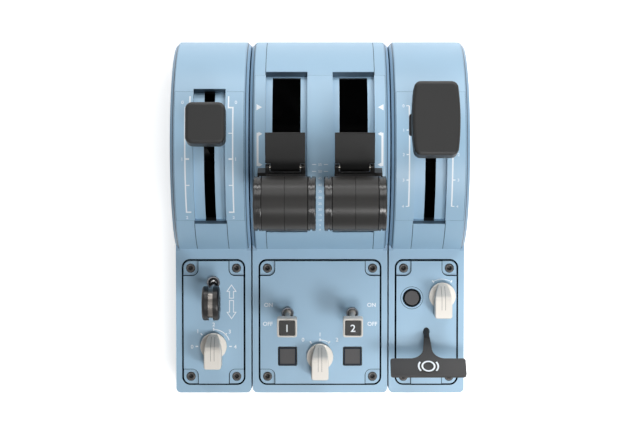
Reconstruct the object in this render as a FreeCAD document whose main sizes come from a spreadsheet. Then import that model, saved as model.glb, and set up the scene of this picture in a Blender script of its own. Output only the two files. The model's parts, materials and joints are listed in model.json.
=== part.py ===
import FreeCAD, Part
import math
import os
import Sketcher
from types import SimpleNamespace

# A desktop throttle quadrant of three modules side by side. Each has a round drum at the back, where
# levers stand in slots, and a low deck in front with a screwed faceplate. X is to the user's right,
# Y points forward and Z up; the origin is on the desk under the middle of the footprint.

# ---------------------------------------------------------------- driving dimensions (mm, degrees)
SIZES = {
    # housings
    "drum_radius": 69.2,
    "front_reach": 159.1,
    "axis_height": 24.0,
    "deck_rise": 20.9,
    "deck_tilt": 3.2,
    "side_width": 48.7,
    "centre_width": 87.1,
    "module_gap": 0.9,
    "wall": 3.0,
    "rim_chamfer": 2.6,
    "front_corner_radius": 3.0,
    "foot_height": 3.0,
    "cover_thickness": 2.5,
    "running_gap": 0.3,
    "fit_gap": 0.05,
    # scale plates, slots and seams
    "rim_width": 2.8,
    "plate_thickness": 1.2,
    "plate_gap": 0.15,
    "seam_width": 0.4,
    "seam_depth": 0.5,
    "seam_rear_end": 88.0,
    "slot_end_ledge": 1.0,
    "guide_step": 1.5,
    "guide_floor": 1.5,
    "guide_margin": 2.5,
    "side_plate_rear": 28.3,
    "side_plate_front": 43.5,
    "side_slot_rear": 30.0,
    "side_slot_front": 46.0,
    "side_channel_width": 20.0,
    "side_slot_width": 6.6,
    "centre_plate_rear": 39.0,
    "centre_plate_front": 50.5,
    "centre_slot_rear": 41.6,
    "centre_slot_front": 52.8,
    "centre_channel_width": 26.0,
    "centre_slot_width": 17.6,
    "thrust_offset": 20.9,
    # faceplates
    "face_start": 7.6,
    "face_end": 5.677,
    "layout_length": 80.0,
    "face_margin": 4.75,
    "face_radius": 4.5,
    "face_depth": 2.0,
    "face_gap": 0.7,
    "face_raise": 0.6,
    "face_ledge": 3.0,
    "pad_size": 9.6,
    "pad_radius": 4.0,
    "pad_sink": 0.7,
    "face_seat": 0.8,
    "screw_inset": 4.8,
    "screw_radius": 1.5,
    "screw_head_radius": 2.7,
    "screw_head_height": 1.4,
    "screw_length": 8.0,
    # inner frames, axles and boards
    "frame_thickness": 2.0,
    "frame_half_length": 16.0,
    "frame_top_radius": 12.0,
    "side_hub_width": 15.0,
    "centre_hub_width": 20.0,
    "hub_radius": 9.0,
    "axle_radius": 3.0,
    "board_thickness": 1.6,
    "board_length": 68.0,
    "board_margin": 5.0,
    "switch_radius": 6.2,
    "switch_depth": 9.6,
    "washer_thickness": 0.4,
    "washer_radius": 8.0,
    "hub_gap": 0.5,
    # levers
    "side_arm_thickness": 6.0,
    "side_arm_width": 10.0,
    "speedbrake_lean": 6.0,
    "speedbrake_height": 99.0,
    "speedbrake_knob_width": 24.0,
    "speedbrake_knob_length": 25.2,
    "speedbrake_knob_thickness": 15.0,
    "flap_lean": 6.3,
    "flap_height": 113.0,
    "flap_knob_width": 28.6,
    "flap_knob_length": 44.4,
    "flap_knob_thickness": 15.0,
    "flap_collar_height": 9.0,
    "collar_overhang": 4.0,
    "collar_width": 15.0,
    "collar_corner": 3.0,
    "knob_travel": 5.0,
    "knob_corner": 4.2,
    "knob_round": 2.2,
    "knob_roof": 2.5,
    "flap_bulge": 1.6,
    "collar_tab_reach": 0.6,
    "collar_tab_length": 13.0,
    "collar_tab_thickness": 3.0,
    "collar_tab_corner": 1.2,
    "thrust_lean": 18.5,
    "grip_height": 118.0,
    "grip_radius": 16.3,
    "grip_core_radius": 10.0,
    "grip_body_width": 26.9,
    "grip_cap_width": 5.0,
    "thrust_arm_thickness": 12.0,
    "thrust_arm_width": 14.0,
    "neck_width": 16.0,
    "head_width": 24.0,
    "head_clearance": 3.7,
    "head_height": 22.0,
    "head_front": 13.0,
    "head_rear": 10.0,
    "head_round": 2.4,
    "stop_width": 4.8,
    "stop_length": 5.3,
    "stop_height": 10.0,
    "lug_width": 2.4,
    "lug_radius": 2.0,
    "pin_forward": 16.4,
    "pin_rise": 22.0,
    "cap_round": 0.8,
    "cap_groove": 0.7,
    "cap_groove_place": 2.25,
    "cap_groove_width": 1.05,
    "cap_dish": 0.8,
    "disconnect_radius": 6.0,
    "disconnect_travel": 1.2,
    "disconnect_rise": 0.5,
    "reverse_length": 22.3,
    "reverse_thickness": 3.6,
    "reverse_width": 24.0,
    "reverse_pin_radius": 1.2,
    "knuckle_radius": 2.6,
    "knuckle_gap": 0.8,
    "hood_skirt": 12.0,
    "hood_tuck": 4.8,
    "hood_round": 0.8,
    "hood_notch": 3.3,
    # deck controls: distance in front of the drum foot, and sideways place
    "gear_place": 21.7,
    "gear_lean": 20.8,
    "gear_pivot_depth": 1.5,
    "gear_reach": 30.0,
    "gear_rod_radius": 1.8,
    "gear_ball_radius": 3.0,
    "gear_wheel_radius": 10.9,
    "gear_wheel_width": 11.0,
    "gear_hub_radius": 5.0,
    "tyre_round": 1.8,
    "tyre_gap": 3.0,
    "tyre_gap_depth": 1.6,
    "hub_dish": 1.2,
    "autobrake_place": 62.8,
    "knob_disc_radius": 8.5,
    "knob_disc_height": 3.0,
    "knob_bar_width": 11.0,
    "knob_bar_rear": 8.0,
    "knob_bar_front": 13.4,
    "knob_height": 15.5,
    "knob_slope": 8.0,
    "knob_brow": 4.5,
    "knob_tip_width": 4.6,
    "knob_taper_start": 3.0,
    "knob_bar_round": 1.6,
    "knob_lift": 0.4,
    "knob_under": 0.5,
    "spindle_gap": 3.0,
    "shaft_radius": 3.0,
    "master_offset": 20.9,
    "master_place": 41.5,
    "master_lean": 14.3,
    "master_pivot_depth": 1.0,
    "master_reach": 26.1,
    "master_rod_radius": 1.6,
    "master_ball_radius": 2.7,
    "toggle_wall": 0.9,
    "toggle_case_end": 2.5,
    "toggle_rise": 1.4,
    "toggle_lip": 0.3,
    "master_cap": 12.7,
    "master_cap_height": 5.0,
    "master_cap_corner": 1.6,
    "master_window": 10.2,
    "legend_depth": 0.8,
    "legend_thickness": 0.64,
    "mode_place": 69.7,
    "button_place": 69.5,
    "button_offset": 21.0,
    "button_width": 11.9,
    "button_travel": 1.2,
    "button_height": 6.0,
    "button_corner": 1.0,
    "button_round": 0.4,
    "button_rise": 0.6,
    "tactile_width": 8.9,
    "tactile_corner": 1.0,
    "reset_offset": 9.45,
    "reset_place": 31.6,
    "reset_radius": 4.8,
    "reset_gap": 0.7,
    "trim_offset": 10.15,
    "trim_place": 30.1,
    "brake_place": 53.1,
    "brake_lean": 42.5,
    "brake_reach": 31.0,
    "brake_bar_length": 48.0,
    "brake_bar_width": 14.2,
    "brake_bar_thickness": 2.0,
    "brake_stem_width": 3.6,
    "brake_neck_width": 5.6,
    "brake_stem_radius": 1.8,
    "brake_stem_start": 5.5,
    "brake_stem_depth": 9.0,
    "brake_flare": 8.5,
    "brake_bar_corner": 1.8,
    "brake_block_width": 10.0,
    "brake_block_length": 20.0,
    # underside and port
    "port_width": 9.0,
    "port_height": 3.2,
    "port_depth": 7.5,
    "port_inset": 0.5,
    "port_wall": 0.3,
    "port_round": 1.5,
    "tongue_margin": 1.2,
    "tongue_thickness": 0.7,
    "boss_radius": 3.9,
    "boss_height": 14.0,
    "boss_inset": 6.5,
    "boss_front": 12.0,
    "boss_rear": 14.0,
    "foot_radius": 5.0,
    "foot_step": 14.0,
    "join_plate_width": 12.0,
    "join_plate_thickness": 1.4,
    "insert_radius": 2.8,
    "insert_bore": 1.75,
    "insert_length": 6.0,
    "insert_wall": 2.0,
    "insert_roof": 1.5,
    "insert_rear_inset": 44.15,
    "insert_spacing_x": 60.0,
    "insert_spacing_y": 140.0,
}

doc = FreeCAD.newDocument("ThrottleQuadrant")
sheet = doc.addObject("Spreadsheet::Sheet", "Sizes")
for row, (alias, number) in enumerate(SIZES.items(), start=1):
    sheet.set(f"A{row}", alias)
    sheet.set(f"B{row}", str(number))
    sheet.setAlias(f"B{row}", alias)
doc.recompute()


class Size:
    """A length or angle held both as a number and as a spreadsheet expression."""

    def __init__(self, number, text):
        self.number = float(number)
        self.text = text

    def __add__(self, other):
        other = as_size(other)
        return Size(self.number + other.number, f"({self.text} + {other.text})")

    def __sub__(self, other):
        other = as_size(other)
        return Size(self.number - other.number, f"({self.text} - {other.text})")

    def __mul__(self, other):
        other = as_size(other)
        return Size(self.number * other.number, f"({self.text} * {other.text})")

    def __truediv__(self, other):
        other = as_size(other)
        return Size(self.number / other.number, f"({self.text} / {other.text})")

    def __neg__(self):
        return Size(-self.number, f"(0 - {self.text})")

    def __radd__(self, other):
        return as_size(other) + self

    def __rsub__(self, other):
        return as_size(other) - self

    def __rmul__(self, other):
        return as_size(other) * self


def as_size(value):
    """Wraps a plain number, so that it can be mixed with sizes of the sheet."""
    return value if isinstance(value, Size) else Size(value, f"{float(value):.6f}")


def sine(angle):
    angle = as_size(angle)
    return Size(math.sin(math.radians(angle.number)), f"sin({angle.text} * 1deg)")


def cosine(angle):
    angle = as_size(angle)
    return Size(math.cos(math.radians(angle.number)), f"cos({angle.text} * 1deg)")


def tangent(angle):
    angle = as_size(angle)
    return Size(math.tan(math.radians(angle.number)), f"tan({angle.text} * 1deg)")


def root(value):
    return Size(math.sqrt(value.number), f"sqrt({value.text})")


s = SimpleNamespace(**{alias: Size(number, f"Sizes.{alias}") for alias, number in SIZES.items()})

# ------------------------------------------------------------------------------- derived places
axis_y = (s.front_reach - s.drum_radius) / 2
foot_of_drum = root(s.drum_radius * s.drum_radius - s.deck_rise * s.deck_rise)
floor_level = s.foot_height + s.cover_thickness - s.axis_height
side_x = s.centre_width / 2 + s.module_gap + s.side_width / 2
port_level = floor_level + s.board_thickness + s.port_height / 2
deck_y = axis_y - foot_of_drum
deck_z = s.axis_height + s.deck_rise
deck_length = (s.front_reach - foot_of_drum) / cosine(s.deck_tilt)
s.face_length = deck_length - s.face_start - s.face_end
face_centre = s.face_start + s.face_length / 2
for control in ("gear", "autobrake", "master", "mode", "button", "reset", "trim", "brake"):
    laid_out = getattr(s, control + "_place")
    setattr(s, control + "_place", laid_out * s.face_length / s.layout_length)
s.head_level = s.grip_height - s.grip_radius - s.head_clearance - s.head_height
s.pin_level = s.head_level + s.pin_rise

foot_angle = -90 + Size(
    math.degrees(math.asin(s.deck_rise.number / s.drum_radius.number)),
    f"(asin({s.deck_rise.text} / {s.drum_radius.text}) / 1deg)",
)

MODULES = {
    "left": (-side_x, s.side_width),
    "centre": (as_size(0), s.centre_width),
    "right": (side_x, s.side_width),
}
subparts = []


# ------------------------------------------------------------------------------ sketch and feature help
def bind(thing, path, size):
    thing.setExpression(path, as_size(size).text)


def place(thing, x, y, z, turn=0):
    """Moves a sub-part and turns it about X, with everything bound to the sheet."""
    x, y, z, turn = (as_size(value) for value in (x, y, z, turn))
    thing.setExpression(
        "Placement",
        f"placement(vector({x.text}; {y.text}; {z.text});"
        f" rotation(vector(1; 0; 0); {turn.text}); vector(0; 0; 0))",
    )


def in_drum(thing, x=0, lean=0):
    """Frame of a lever: origin on the levers' axis, leaning forward by an angle."""
    place(thing, x, axis_y, s.axis_height, -as_size(lean))


def on_deck(thing, x=0, forward=0, rise=0, lean=0):
    """Frame of the deck: origin at the foot of the drum, Z square to the deck, or leaning to the user."""
    x, forward, rise = as_size(x), as_size(forward), as_size(rise)
    y = deck_y + forward * cosine(s.deck_tilt) - rise * sine(s.deck_tilt)
    z = deck_z + forward * sine(s.deck_tilt) + rise * cosine(s.deck_tilt)
    place(thing, x, y, z, s.deck_tilt + lean)


def new_body(label):
    body = doc.addObject("PartDesign::Body", label)
    body.Label = label
    subparts.append(body)
    return body


def new_sketch(body, name, plane, offset=0, shift=None):
    """An empty sketch on one of the body's origin planes, moved off it by an offset."""
    sketch = body.newObject("Sketcher::SketchObject", name)
    origin = [item for item in body.Origin.OriginFeatures if item.Role == plane + "_Plane"][0]
    sketch.AttachmentSupport = [(origin, "")]
    sketch.MapMode = "FlatFace"
    if shift is None:
        bind(sketch, "AttachmentOffset.Base.z", offset)
    else:
        sketch.setExpression("AttachmentOffset", shift)
    return sketch


def fix_point(sketch, geometry, end, x=None, y=None):
    for kind, size in (("DistanceX", x), ("DistanceY", y)):
        if size is not None:
            size = as_size(size)
            number = sketch.addConstraint(
                Sketcher.Constraint(kind, -1, 1, geometry, end, size.number)
            )
            sketch.setExpression(f"Constraints[{number}]", size.text)


def outline(sketch, corners):
    """A closed outline. Each corner is (x, y), or (x, y, centre_x, centre_y, turn) where an arc about
    that centre, turning left (1) or right (-1), comes from the corner before it."""
    corners = [tuple(as_size(value) for value in corner) for corner in corners]
    edges = []
    for before, corner in zip([corners[-1]] + corners[:-1], corners):
        start = FreeCAD.Vector(before[0].number, before[1].number, 0)
        end = FreeCAD.Vector(corner[0].number, corner[1].number, 0)
        if len(corner) == 2:
            edges.append(sketch.addGeometry(Part.LineSegment(start, end)))
            continue
        centre = FreeCAD.Vector(corner[2].number, corner[3].number, 0)
        circle = Part.Circle(centre, FreeCAD.Vector(0, 0, 1), start.distanceToPoint(centre))
        angles = [math.atan2((p - centre).y, (p - centre).x) for p in (start, end)]
        if corner[4].number < 0:
            angles.reverse()
        edges.append(sketch.addGeometry(Part.ArcOfCircle(circle, *angles)))
    for index, corner in enumerate(corners):
        after = (index + 1) % len(corners)
        left_turn = len(corner) == 2 or corner[4].number > 0
        end = 2 if left_turn else 1
        start = 1 if len(corners[after]) == 2 or corners[after][4].number > 0 else 2
        sketch.addConstraint(
            Sketcher.Constraint("Coincident", edges[index], end, edges[after], start)
        )
        if len(corner) == 2:
            fix_point(sketch, edges[index], 2, corner[0], corner[1])
            continue
        fix_point(sketch, edges[index], 3, corner[2], corner[3])
        flat = abs((corner[0] - corner[2]).number) < abs((corner[1] - corner[3]).number)
        fix_point(
            sketch, edges[index], end, corner[0] if flat else None, None if flat else corner[1]
        )
    return sketch


def rectangle(sketch, x, y, width, length):
    """A rectangle about its centre."""
    x, y, half_width, half_length = as_size(x), as_size(y), width / 2, length / 2
    return outline(
        sketch,
        [
            (x + half_width, y - half_length),
            (x + half_width, y + half_length),
            (x - half_width, y + half_length),
            (x - half_width, y - half_length),
        ],
    )


def rounded_rectangle(sketch, x, y, width, length, radius):
    """A rectangle about its centre, with round corners."""
    x, y, a, b, r = as_size(x), as_size(y), width / 2, length / 2, as_size(radius)
    return outline(
        sketch,
        [
            (x + a, y - b + r, x + a - r, y - b + r, 1),
            (x + a, y + b - r),
            (x + a - r, y + b, x + a - r, y + b - r, 1),
            (x - a + r, y + b),
            (x - a, y + b - r, x - a + r, y + b - r, 1),
            (x - a, y - b + r),
            (x - a + r, y - b, x - a + r, y - b + r, 1),
            (x + a - r, y - b),
        ],
    )


def notched_rectangle(sketch, width, length, notch, radius):
    """A rectangle about the origin with a square notch, round inside, out of each corner."""
    a, b, n, r = width / 2, length / 2, as_size(notch), as_size(radius)
    corners = []
    for x_sign, y_sign in ((1, 1), (-1, 1), (-1, -1), (1, -1)):
        side = [(a, b - n), (a - n + r, b - n), (a - n, b - n + r), (a - n, b)]
        centre = (x_sign * (a - n + r), y_sign * (b - n + r))
        turned = [(x_sign * x, y_sign * y) for x, y in side]
        if x_sign * y_sign < 0:
            turned.reverse()
        turned[2] = (*turned[2], *centre, -1)
        corners += turned
    return outline(sketch, corners)


def circle(sketch, x, y, radius):
    x, y, radius = as_size(x), as_size(y), as_size(radius)
    edge = sketch.addGeometry(
        Part.Circle(FreeCAD.Vector(x.number, y.number, 0), FreeCAD.Vector(0, 0, 1), radius.number)
    )
    fix_point(sketch, edge, 3, x, y)
    number = sketch.addConstraint(Sketcher.Constraint("Radius", edge, radius.number))
    sketch.setExpression(f"Constraints[{number}]", radius.text)
    return sketch


def polar(radius, angle):
    """A point of a YZ sketch, at an angle forward of straight up from the levers' axis."""
    return radius * sine(angle), radius * cosine(angle)


def sector(sketch, inner, outer, front, rear):
    """A curved strip about the levers' axis, between two angles forward of straight up."""
    inner, outer = as_size(inner), as_size(outer)
    return outline(
        sketch,
        [
            polar(outer, rear),
            (*polar(outer, front), 0, 0, 1),
            polar(inner, front),
            (*polar(inner, rear), 0, 0, -1),
        ],
    )


def pad(body, name, sketch, length, both_sides=False, down=False):
    feature = body.newObject("PartDesign::Pad", name)
    return set_prism(feature, sketch, length, both_sides, down)


def pocket(body, name, sketch, length, both_sides=False, down=True):
    """A cut. It goes towards the sketch plane's back unless told otherwise."""
    feature = body.newObject("PartDesign::Pocket", name)
    return set_prism(feature, sketch, length, both_sides, not down)


def set_prism(feature, sketch, length, both_sides, reversed_):
    feature.Profile = sketch
    bind(feature, "Length", length)
    feature.SideType = "Symmetric" if both_sides else "One side"
    feature.Reversed = reversed_
    sketch.Visibility = False
    doc.recompute()
    return feature


def revolve(body, name, sketch, axis):
    """A full turn of a profile about the sketch's own H_Axis or V_Axis."""
    feature = body.newObject("PartDesign::Revolution", name)
    feature.Profile = sketch
    feature.ReferenceAxis = (sketch, [axis])
    feature.Angle = 360
    sketch.Visibility = False
    doc.recompute()
    return feature


def dress(body, kind, name, size, wanted):
    """A Fillet or Chamfer on the edges of the body that a test picks."""
    base = body.Tip
    edges = [f"Edge{i + 1}" for i, edge in enumerate(base.Shape.Edges) if wanted(edge)]
    feature = body.newObject("PartDesign::" + kind, name)
    feature.Base = (base, edges)
    bind(feature, "Radius" if kind == "Fillet" else "Size", size)
    doc.recompute()
    return feature


def is_arc(edge, radius):
    curve = edge.Curve
    return hasattr(curve, "Radius") and abs(curve.Radius - radius.number) < 1e-6


def lies_along(edge, axis, where=None):
    """True for a straight edge along X, Y or Z that passes a test on its middle point."""
    if not isinstance(edge.Curve, Part.Line):
        return False
    direction = edge.Curve.Direction
    along = abs(getattr(direction, axis)) > 0.999
    middle = edge.valueAt((edge.FirstParameter + edge.LastParameter) / 2)
    return along and (where is None or where(middle))


def at_height(edge, height):
    box = edge.BoundBox
    return abs(box.ZMin - height.number) < 1e-4 and abs(box.ZMax - height.number) < 1e-4


def group(label, pieces):
    """One sub-part that holds several separate solids."""
    compound = doc.addObject("Part::Compound", label)
    compound.Label = label
    compound.Links = pieces
    for piece in pieces:
        if piece in subparts:
            subparts.remove(piece)
    subparts.append(compound)


def solids(label, make_each, places):
    """One sub-part made of a piece at each of several places."""
    group(label, [make_each(f"{label}_{n}", *spot) for n, spot in enumerate(places, start=1)])


# ------------------------------------------------------------------------------------- housings
def shell_profile(sketch, inset):
    """Side view of a housing: rear wall, drum, deck and front wall, moved inwards by an inset."""
    inset = as_size(inset)
    radius = s.drum_radius - inset
    tilt = tangent(s.deck_tilt)
    lower = inset / cosine(s.deck_tilt)
    # the deck line z = deck_rise + (y + foot) * tilt - lower meets the drum of the inset radius
    level = s.deck_rise + foot_of_drum * tilt - lower
    span = 1 + tilt * tilt
    half_b = level * tilt
    reach = root(half_b * half_b - span * (level * level - radius * radius))
    meet_y = -(half_b + reach) / span
    meet_z = level + meet_y * tilt
    front = -(s.front_reach - inset)
    return outline(
        sketch,
        [
            (radius, floor_level),
            (radius, 0),
            (meet_y, meet_z, 0, 0, 1),
            (front, level + front * tilt),
            (front, floor_level),
        ],
    )


def deck_shift(forward, rise=0):
    """Where a sketch lies on the sloping deck, seen from the levers' axis."""
    forward, rise = as_size(forward), as_size(rise)
    y = -foot_of_drum + forward * cosine(s.deck_tilt) - rise * sine(s.deck_tilt)
    z = s.deck_rise + forward * sine(s.deck_tilt) + rise * cosine(s.deck_tilt)
    return (
        f"placement(vector(0; {y.text}; {z.text});"
        f" rotation(vector(1; 0; 0); {s.deck_tilt.text}); vector(0; 0; 0))"
    )


def corner_places(width):
    """Middle points of a faceplate's four screws, about the plate's centre."""
    x = width / 2 - s.screw_inset
    y = s.face_length / 2 - s.screw_inset
    return [(x, y), (-x, y), (-x, -y), (x, -y)]


def boss_places(width):
    """Middle points of a module's cover screws, seen from the levers' axis."""
    x = width / 2 - s.boss_inset
    front = -(s.front_reach - s.boss_front)
    rear = s.drum_radius - s.boss_rear
    return [(x, front), (-x, front), (x, rear), (-x, rear)]


def make_housing(name, centre_x, width):
    side = name != "centre"
    body = new_body(name + "_housing")
    in_drum(body, centre_x)
    profile = shell_profile(new_sketch(body, name + "_shell", "YZ"), 0)
    pad(body, name + "_block", profile, width, both_sides=True)
    dress(body, "Chamfer", name + "_rims", s.rim_chamfer, lambda e: is_arc(e, s.drum_radius))
    front = -s.front_reach.number
    dress(
        body, "Fillet", name + "_corners", s.front_corner_radius,
        lambda e: lies_along(e, "z", lambda p: abs(p.y - front) < 1e-6),
    )
    hollow = shell_profile(new_sketch(body, name + "_hollow", "YZ"), s.wall)
    pocket(body, name + "_cavity", hollow, width - 2 * s.wall, both_sides=True)
    # bosses for the cover screws, with their pilot holes
    bosses = new_sketch(body, name + "_bosses", "XY", floor_level)
    for x, y in boss_places(width):
        circle(bosses, x, y, s.boss_radius)
    pad(body, name + "_boss_posts", bosses, s.boss_height)
    pilots = new_sketch(body, name + "_pilots", "XY", floor_level)
    for x, y in boss_places(width):
        circle(pilots, x, y, s.screw_radius)
    pocket(body, name + "_pilot_holes", pilots, s.screw_length - s.cover_thickness + 2, down=False)
    # the drum: rebate of the scale plates, then the windows of the lever channels
    if side:
        plate_front, plate_rear = -s.side_plate_front, s.side_plate_rear
        slot_front, slot_rear = -s.side_slot_front, s.side_slot_rear
        channel, offsets = s.side_channel_width, [as_size(0)]
        seam_x = s.side_channel_width / 2 + s.seam_width / 2
        seams = [("front", foot_angle, plate_front)]
    else:
        plate_front, plate_rear = -s.centre_plate_front, s.centre_plate_rear
        slot_front, slot_rear = -s.centre_slot_front, s.centre_slot_rear
        channel, offsets = s.centre_channel_width, [-s.thrust_offset, s.thrust_offset]
        seam_x = s.thrust_offset + s.centre_channel_width / 2 + s.seam_width / 2
        seams = [("front", foot_angle, plate_front), ("rear", plate_rear, s.seam_rear_end)]
    above = s.drum_radius + 2
    rebate = sector(
        new_sketch(body, name + "_rebate", "YZ"),
        s.drum_radius - s.plate_thickness, above, plate_front, plate_rear,
    )
    pocket(body, name + "_plate_seat", rebate, width - 2 * s.rim_width, both_sides=True)
    for number, offset in enumerate(offsets, start=1):
        window = sector(
            new_sketch(body, f"{name}_window_{number}", "YZ", offset),
            s.drum_radius - s.wall - 1, above, slot_front, slot_rear,
        )
        pocket(body, f"{name}_channel_{number}", window, channel, both_sides=True)
    # thin moulding seams that carry the channels' edges on, down the drum
    for end, seam_front, seam_rear in seams:
        for mark, sign in (("right", 1), ("left", -1)):
            seam = sector(
                new_sketch(body, f"{name}_{end}_seam_{mark}", "YZ", sign * seam_x),
                s.drum_radius - s.seam_depth, above, seam_front, seam_rear,
            )
            pocket(body, f"{name}_{end}_cut_{mark}", seam, s.seam_width, both_sides=True)
    # the deck: screw posts, seat of the faceplate and the opening below it
    face_width = width - 2 * s.face_margin
    posts = new_sketch(body, name + "_posts", "XY", shift=deck_shift(-face_centre, -s.face_depth))
    for x, y in corner_places(face_width):
        circle(posts, x, y, s.pad_radius)
    pad(body, name + "_face_posts", posts, s.screw_length, down=True)
    seat = rounded_rectangle(
        new_sketch(body, name + "_face_seat", "XY", shift=deck_shift(-face_centre)),
        0, 0, face_width + 2 * s.face_gap, s.face_length + 2 * s.face_gap,
        s.face_radius + s.face_gap,
    )
    pocket(body, name + "_face_rebate", seat, s.face_depth)
    opening = notched_rectangle(
        new_sketch(body, name + "_face_opening", "XY", shift=deck_shift(-face_centre)),
        face_width - 2 * s.face_ledge, s.face_length - 2 * s.face_ledge,
        s.pad_size - s.face_ledge, s.pad_radius,
    )
    pocket(body, name + "_face_window", opening, s.wall + 1)
    drills = new_sketch(body, name + "_drills", "XY", shift=deck_shift(-face_centre))
    for x, y in corner_places(face_width):
        circle(drills, x, y, s.screw_radius)
    pocket(body, name + "_face_drills", drills, s.screw_length + s.face_seat)
    if name == "centre":
        socket = rounded_rectangle(
            new_sketch(body, "usb_hole", "XZ", -s.drum_radius),
            0, port_level, s.port_width + 2 * s.running_gap, s.port_height + 2 * s.running_gap,
            s.port_round,
        )
        pocket(body, "usb_opening", socket, s.wall + 1, down=False)
    return body


for module, (module_x, module_width) in MODULES.items():
    make_housing(module, module_x, module_width)


# ------------------------------------------------------------------------------ bottom and feet
def joined(name):
    """Which sides of a module, -1 or 1, have a joining plate across to the next module."""
    return {"left": (1,), "centre": (-1, 1), "right": (-1,)}[name]


def make_bottom_cover(name, centre_x, width):
    body = new_body(name + "_bottom_cover")
    in_drum(body, centre_x)
    level = s.foot_height - s.axis_height
    middle = (s.drum_radius - s.front_reach) / 2
    plan = rectangle(
        new_sketch(body, name + "_cover_plan", "XY", level),
        0, middle, width, s.drum_radius + s.front_reach,
    )
    pad(body, name + "_cover_plate", plan, s.cover_thickness)
    front = -s.front_reach.number
    dress(
        body, "Fillet", name + "_cover_corners", s.front_corner_radius,
        lambda e: lies_along(e, "z", lambda p: abs(p.y - front) < 1e-6),
    )
    rear = s.drum_radius.number
    dress(
        body, "Chamfer", name + "_cover_rims", s.rim_chamfer,
        lambda e: lies_along(e, "z", lambda p: abs(p.y - rear) < 1e-6),
    )
    if name == "centre":
        bosses = new_sketch(body, "insert_bosses", "XY", level)
        for x, y in insert_places():
            circle(bosses, x, y, s.insert_radius + s.insert_wall)
        pad(body, "insert_boss_posts", bosses, s.insert_length + s.insert_roof)
    holes = new_sketch(body, name + "_cover_holes", "XY", level)
    for x, y in boss_places(width):
        circle(holes, x, y, s.screw_radius)
    pocket(body, name + "_cover_drills", holes, s.cover_thickness, down=False)
    if name == "centre":
        seats = new_sketch(body, "insert_seats", "XY", level)
        for x, y in insert_places():
            circle(seats, x, y, s.insert_radius)
        pocket(body, "insert_bores", seats, s.insert_length, down=False)


def insert_places():
    """Middle points of the threaded inserts, seen from the levers' axis."""
    x = s.insert_spacing_x / 2
    rear = s.drum_radius - s.insert_rear_inset
    front = rear - s.insert_spacing_y
    return [(x, front), (-x, front), (x, rear), (-x, rear)]


def make_insert(label, x, y):
    body = new_body(label)
    in_drum(body, x)
    level = s.foot_height - s.axis_height
    circle(new_sketch(body, label + "_ring", "XY", level), 0, y, s.insert_radius)
    pad(body, label + "_sleeve", body.Group[-1], s.insert_length)
    circle(new_sketch(body, label + "_bore", "XY", level), 0, y, s.insert_bore)
    pocket(body, label + "_thread", body.Group[-1], s.insert_length, down=False)
    return body


def make_disc(label, x, y, level, radius, height):
    """A plain upright disc, seen from the levers' axis."""
    disc = doc.addObject("Part::Cylinder", label)
    bind(disc, "Radius", radius)
    bind(disc, "Height", height)
    place(disc, x, axis_y + y, s.axis_height + level)
    return disc


def make_screw(label, x, y, z, turn, head_first):
    """A screw along Z, its head's outer face at the given place and its shank on the other side."""
    body = new_body(label)
    place(body, x, y, z, turn)
    head = circle(new_sketch(body, label + "_head", "XY"), 0, 0, s.screw_head_radius)
    pad(body, label + "_cap", head, s.screw_head_height, down=not head_first)
    shank = circle(new_sketch(body, label + "_shank", "XY"), 0, 0, s.screw_radius)
    pad(body, label + "_rod", shank, s.screw_length, down=not head_first)
    return body


cover_screw_spots = []
foot_spots = []
join_spots = []
for module, (module_x, module_width) in MODULES.items():
    make_bottom_cover(module, module_x, module_width)
    for x, y in boss_places(module_width):
        has_plate = any(side * x.number > 0 for side in joined(module))
        drop = s.screw_head_height + (s.join_plate_thickness if has_plate else 0)
        cover_screw_spots.append((module_x + x, axis_y + y, s.foot_height - drop, 0, True))
        step = s.foot_step if y.number < 0 else -s.foot_step
        foot_spots.append((module_x + x, y + step, -s.axis_height, s.foot_radius, s.foot_height))
for sign in (-1, 1):
    for _, y in boss_places(s.side_width)[::2]:
        join_spots.append((sign, y))


def make_join_plate(label, sign, y):
    body = new_body(label)
    in_drum(body, sign * (s.centre_width + s.module_gap) / 2)
    level = s.foot_height - s.join_plate_thickness - s.axis_height
    reach = s.boss_inset + s.module_gap / 2
    plan = rounded_rectangle(
        new_sketch(body, label + "_plan", "XY", level),
        0, y, 2 * reach + s.join_plate_width, s.join_plate_width, s.join_plate_width / 3,
    )
    pad(body, label + "_plate", plan, s.join_plate_thickness)
    holes = new_sketch(body, label + "_holes", "XY", level)
    for side in (-1, 1):
        circle(holes, side * reach, y, s.screw_radius)
    pocket(body, label + "_drills", holes, s.join_plate_thickness, down=False)
    return body


solids("cover_screws", make_screw, cover_screw_spots)
solids("rubber_feet", make_disc, foot_spots)
solids("joining_plates", make_join_plate, join_spots)
solids("threaded_inserts", make_insert, insert_places())


# --------------------------------------------------------------------- scale plates and slot guides
def channels(name):
    """Per lever channel of a module: offset, widths of channel and slot, end angles and ledge."""
    if name == "centre":
        ends = (-s.centre_slot_front, s.centre_slot_rear)
        widths = (s.centre_channel_width, s.centre_slot_width)
        return [(sign * s.thrust_offset, *widths, *ends, s.slot_end_ledge) for sign in (-1, 1)]
    widths = (s.side_channel_width, s.side_slot_width)
    return [(as_size(0), *widths, -s.side_slot_front, s.side_slot_rear, as_size(0))]


def make_strip(label, centre_x, start, end, front, rear):
    """One curved scale plate between two places across the drum."""
    body = new_body(label)
    in_drum(body, centre_x)
    slack = s.plate_gap / s.drum_radius * (180 / math.pi)
    curve = sector(
        new_sketch(body, label + "_curve", "YZ", (start + end) / 2),
        s.drum_radius - s.plate_thickness, s.drum_radius, front + slack, rear - slack,
    )
    pad(body, label + "_plate", curve, end - start, both_sides=True)
    return body


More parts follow.
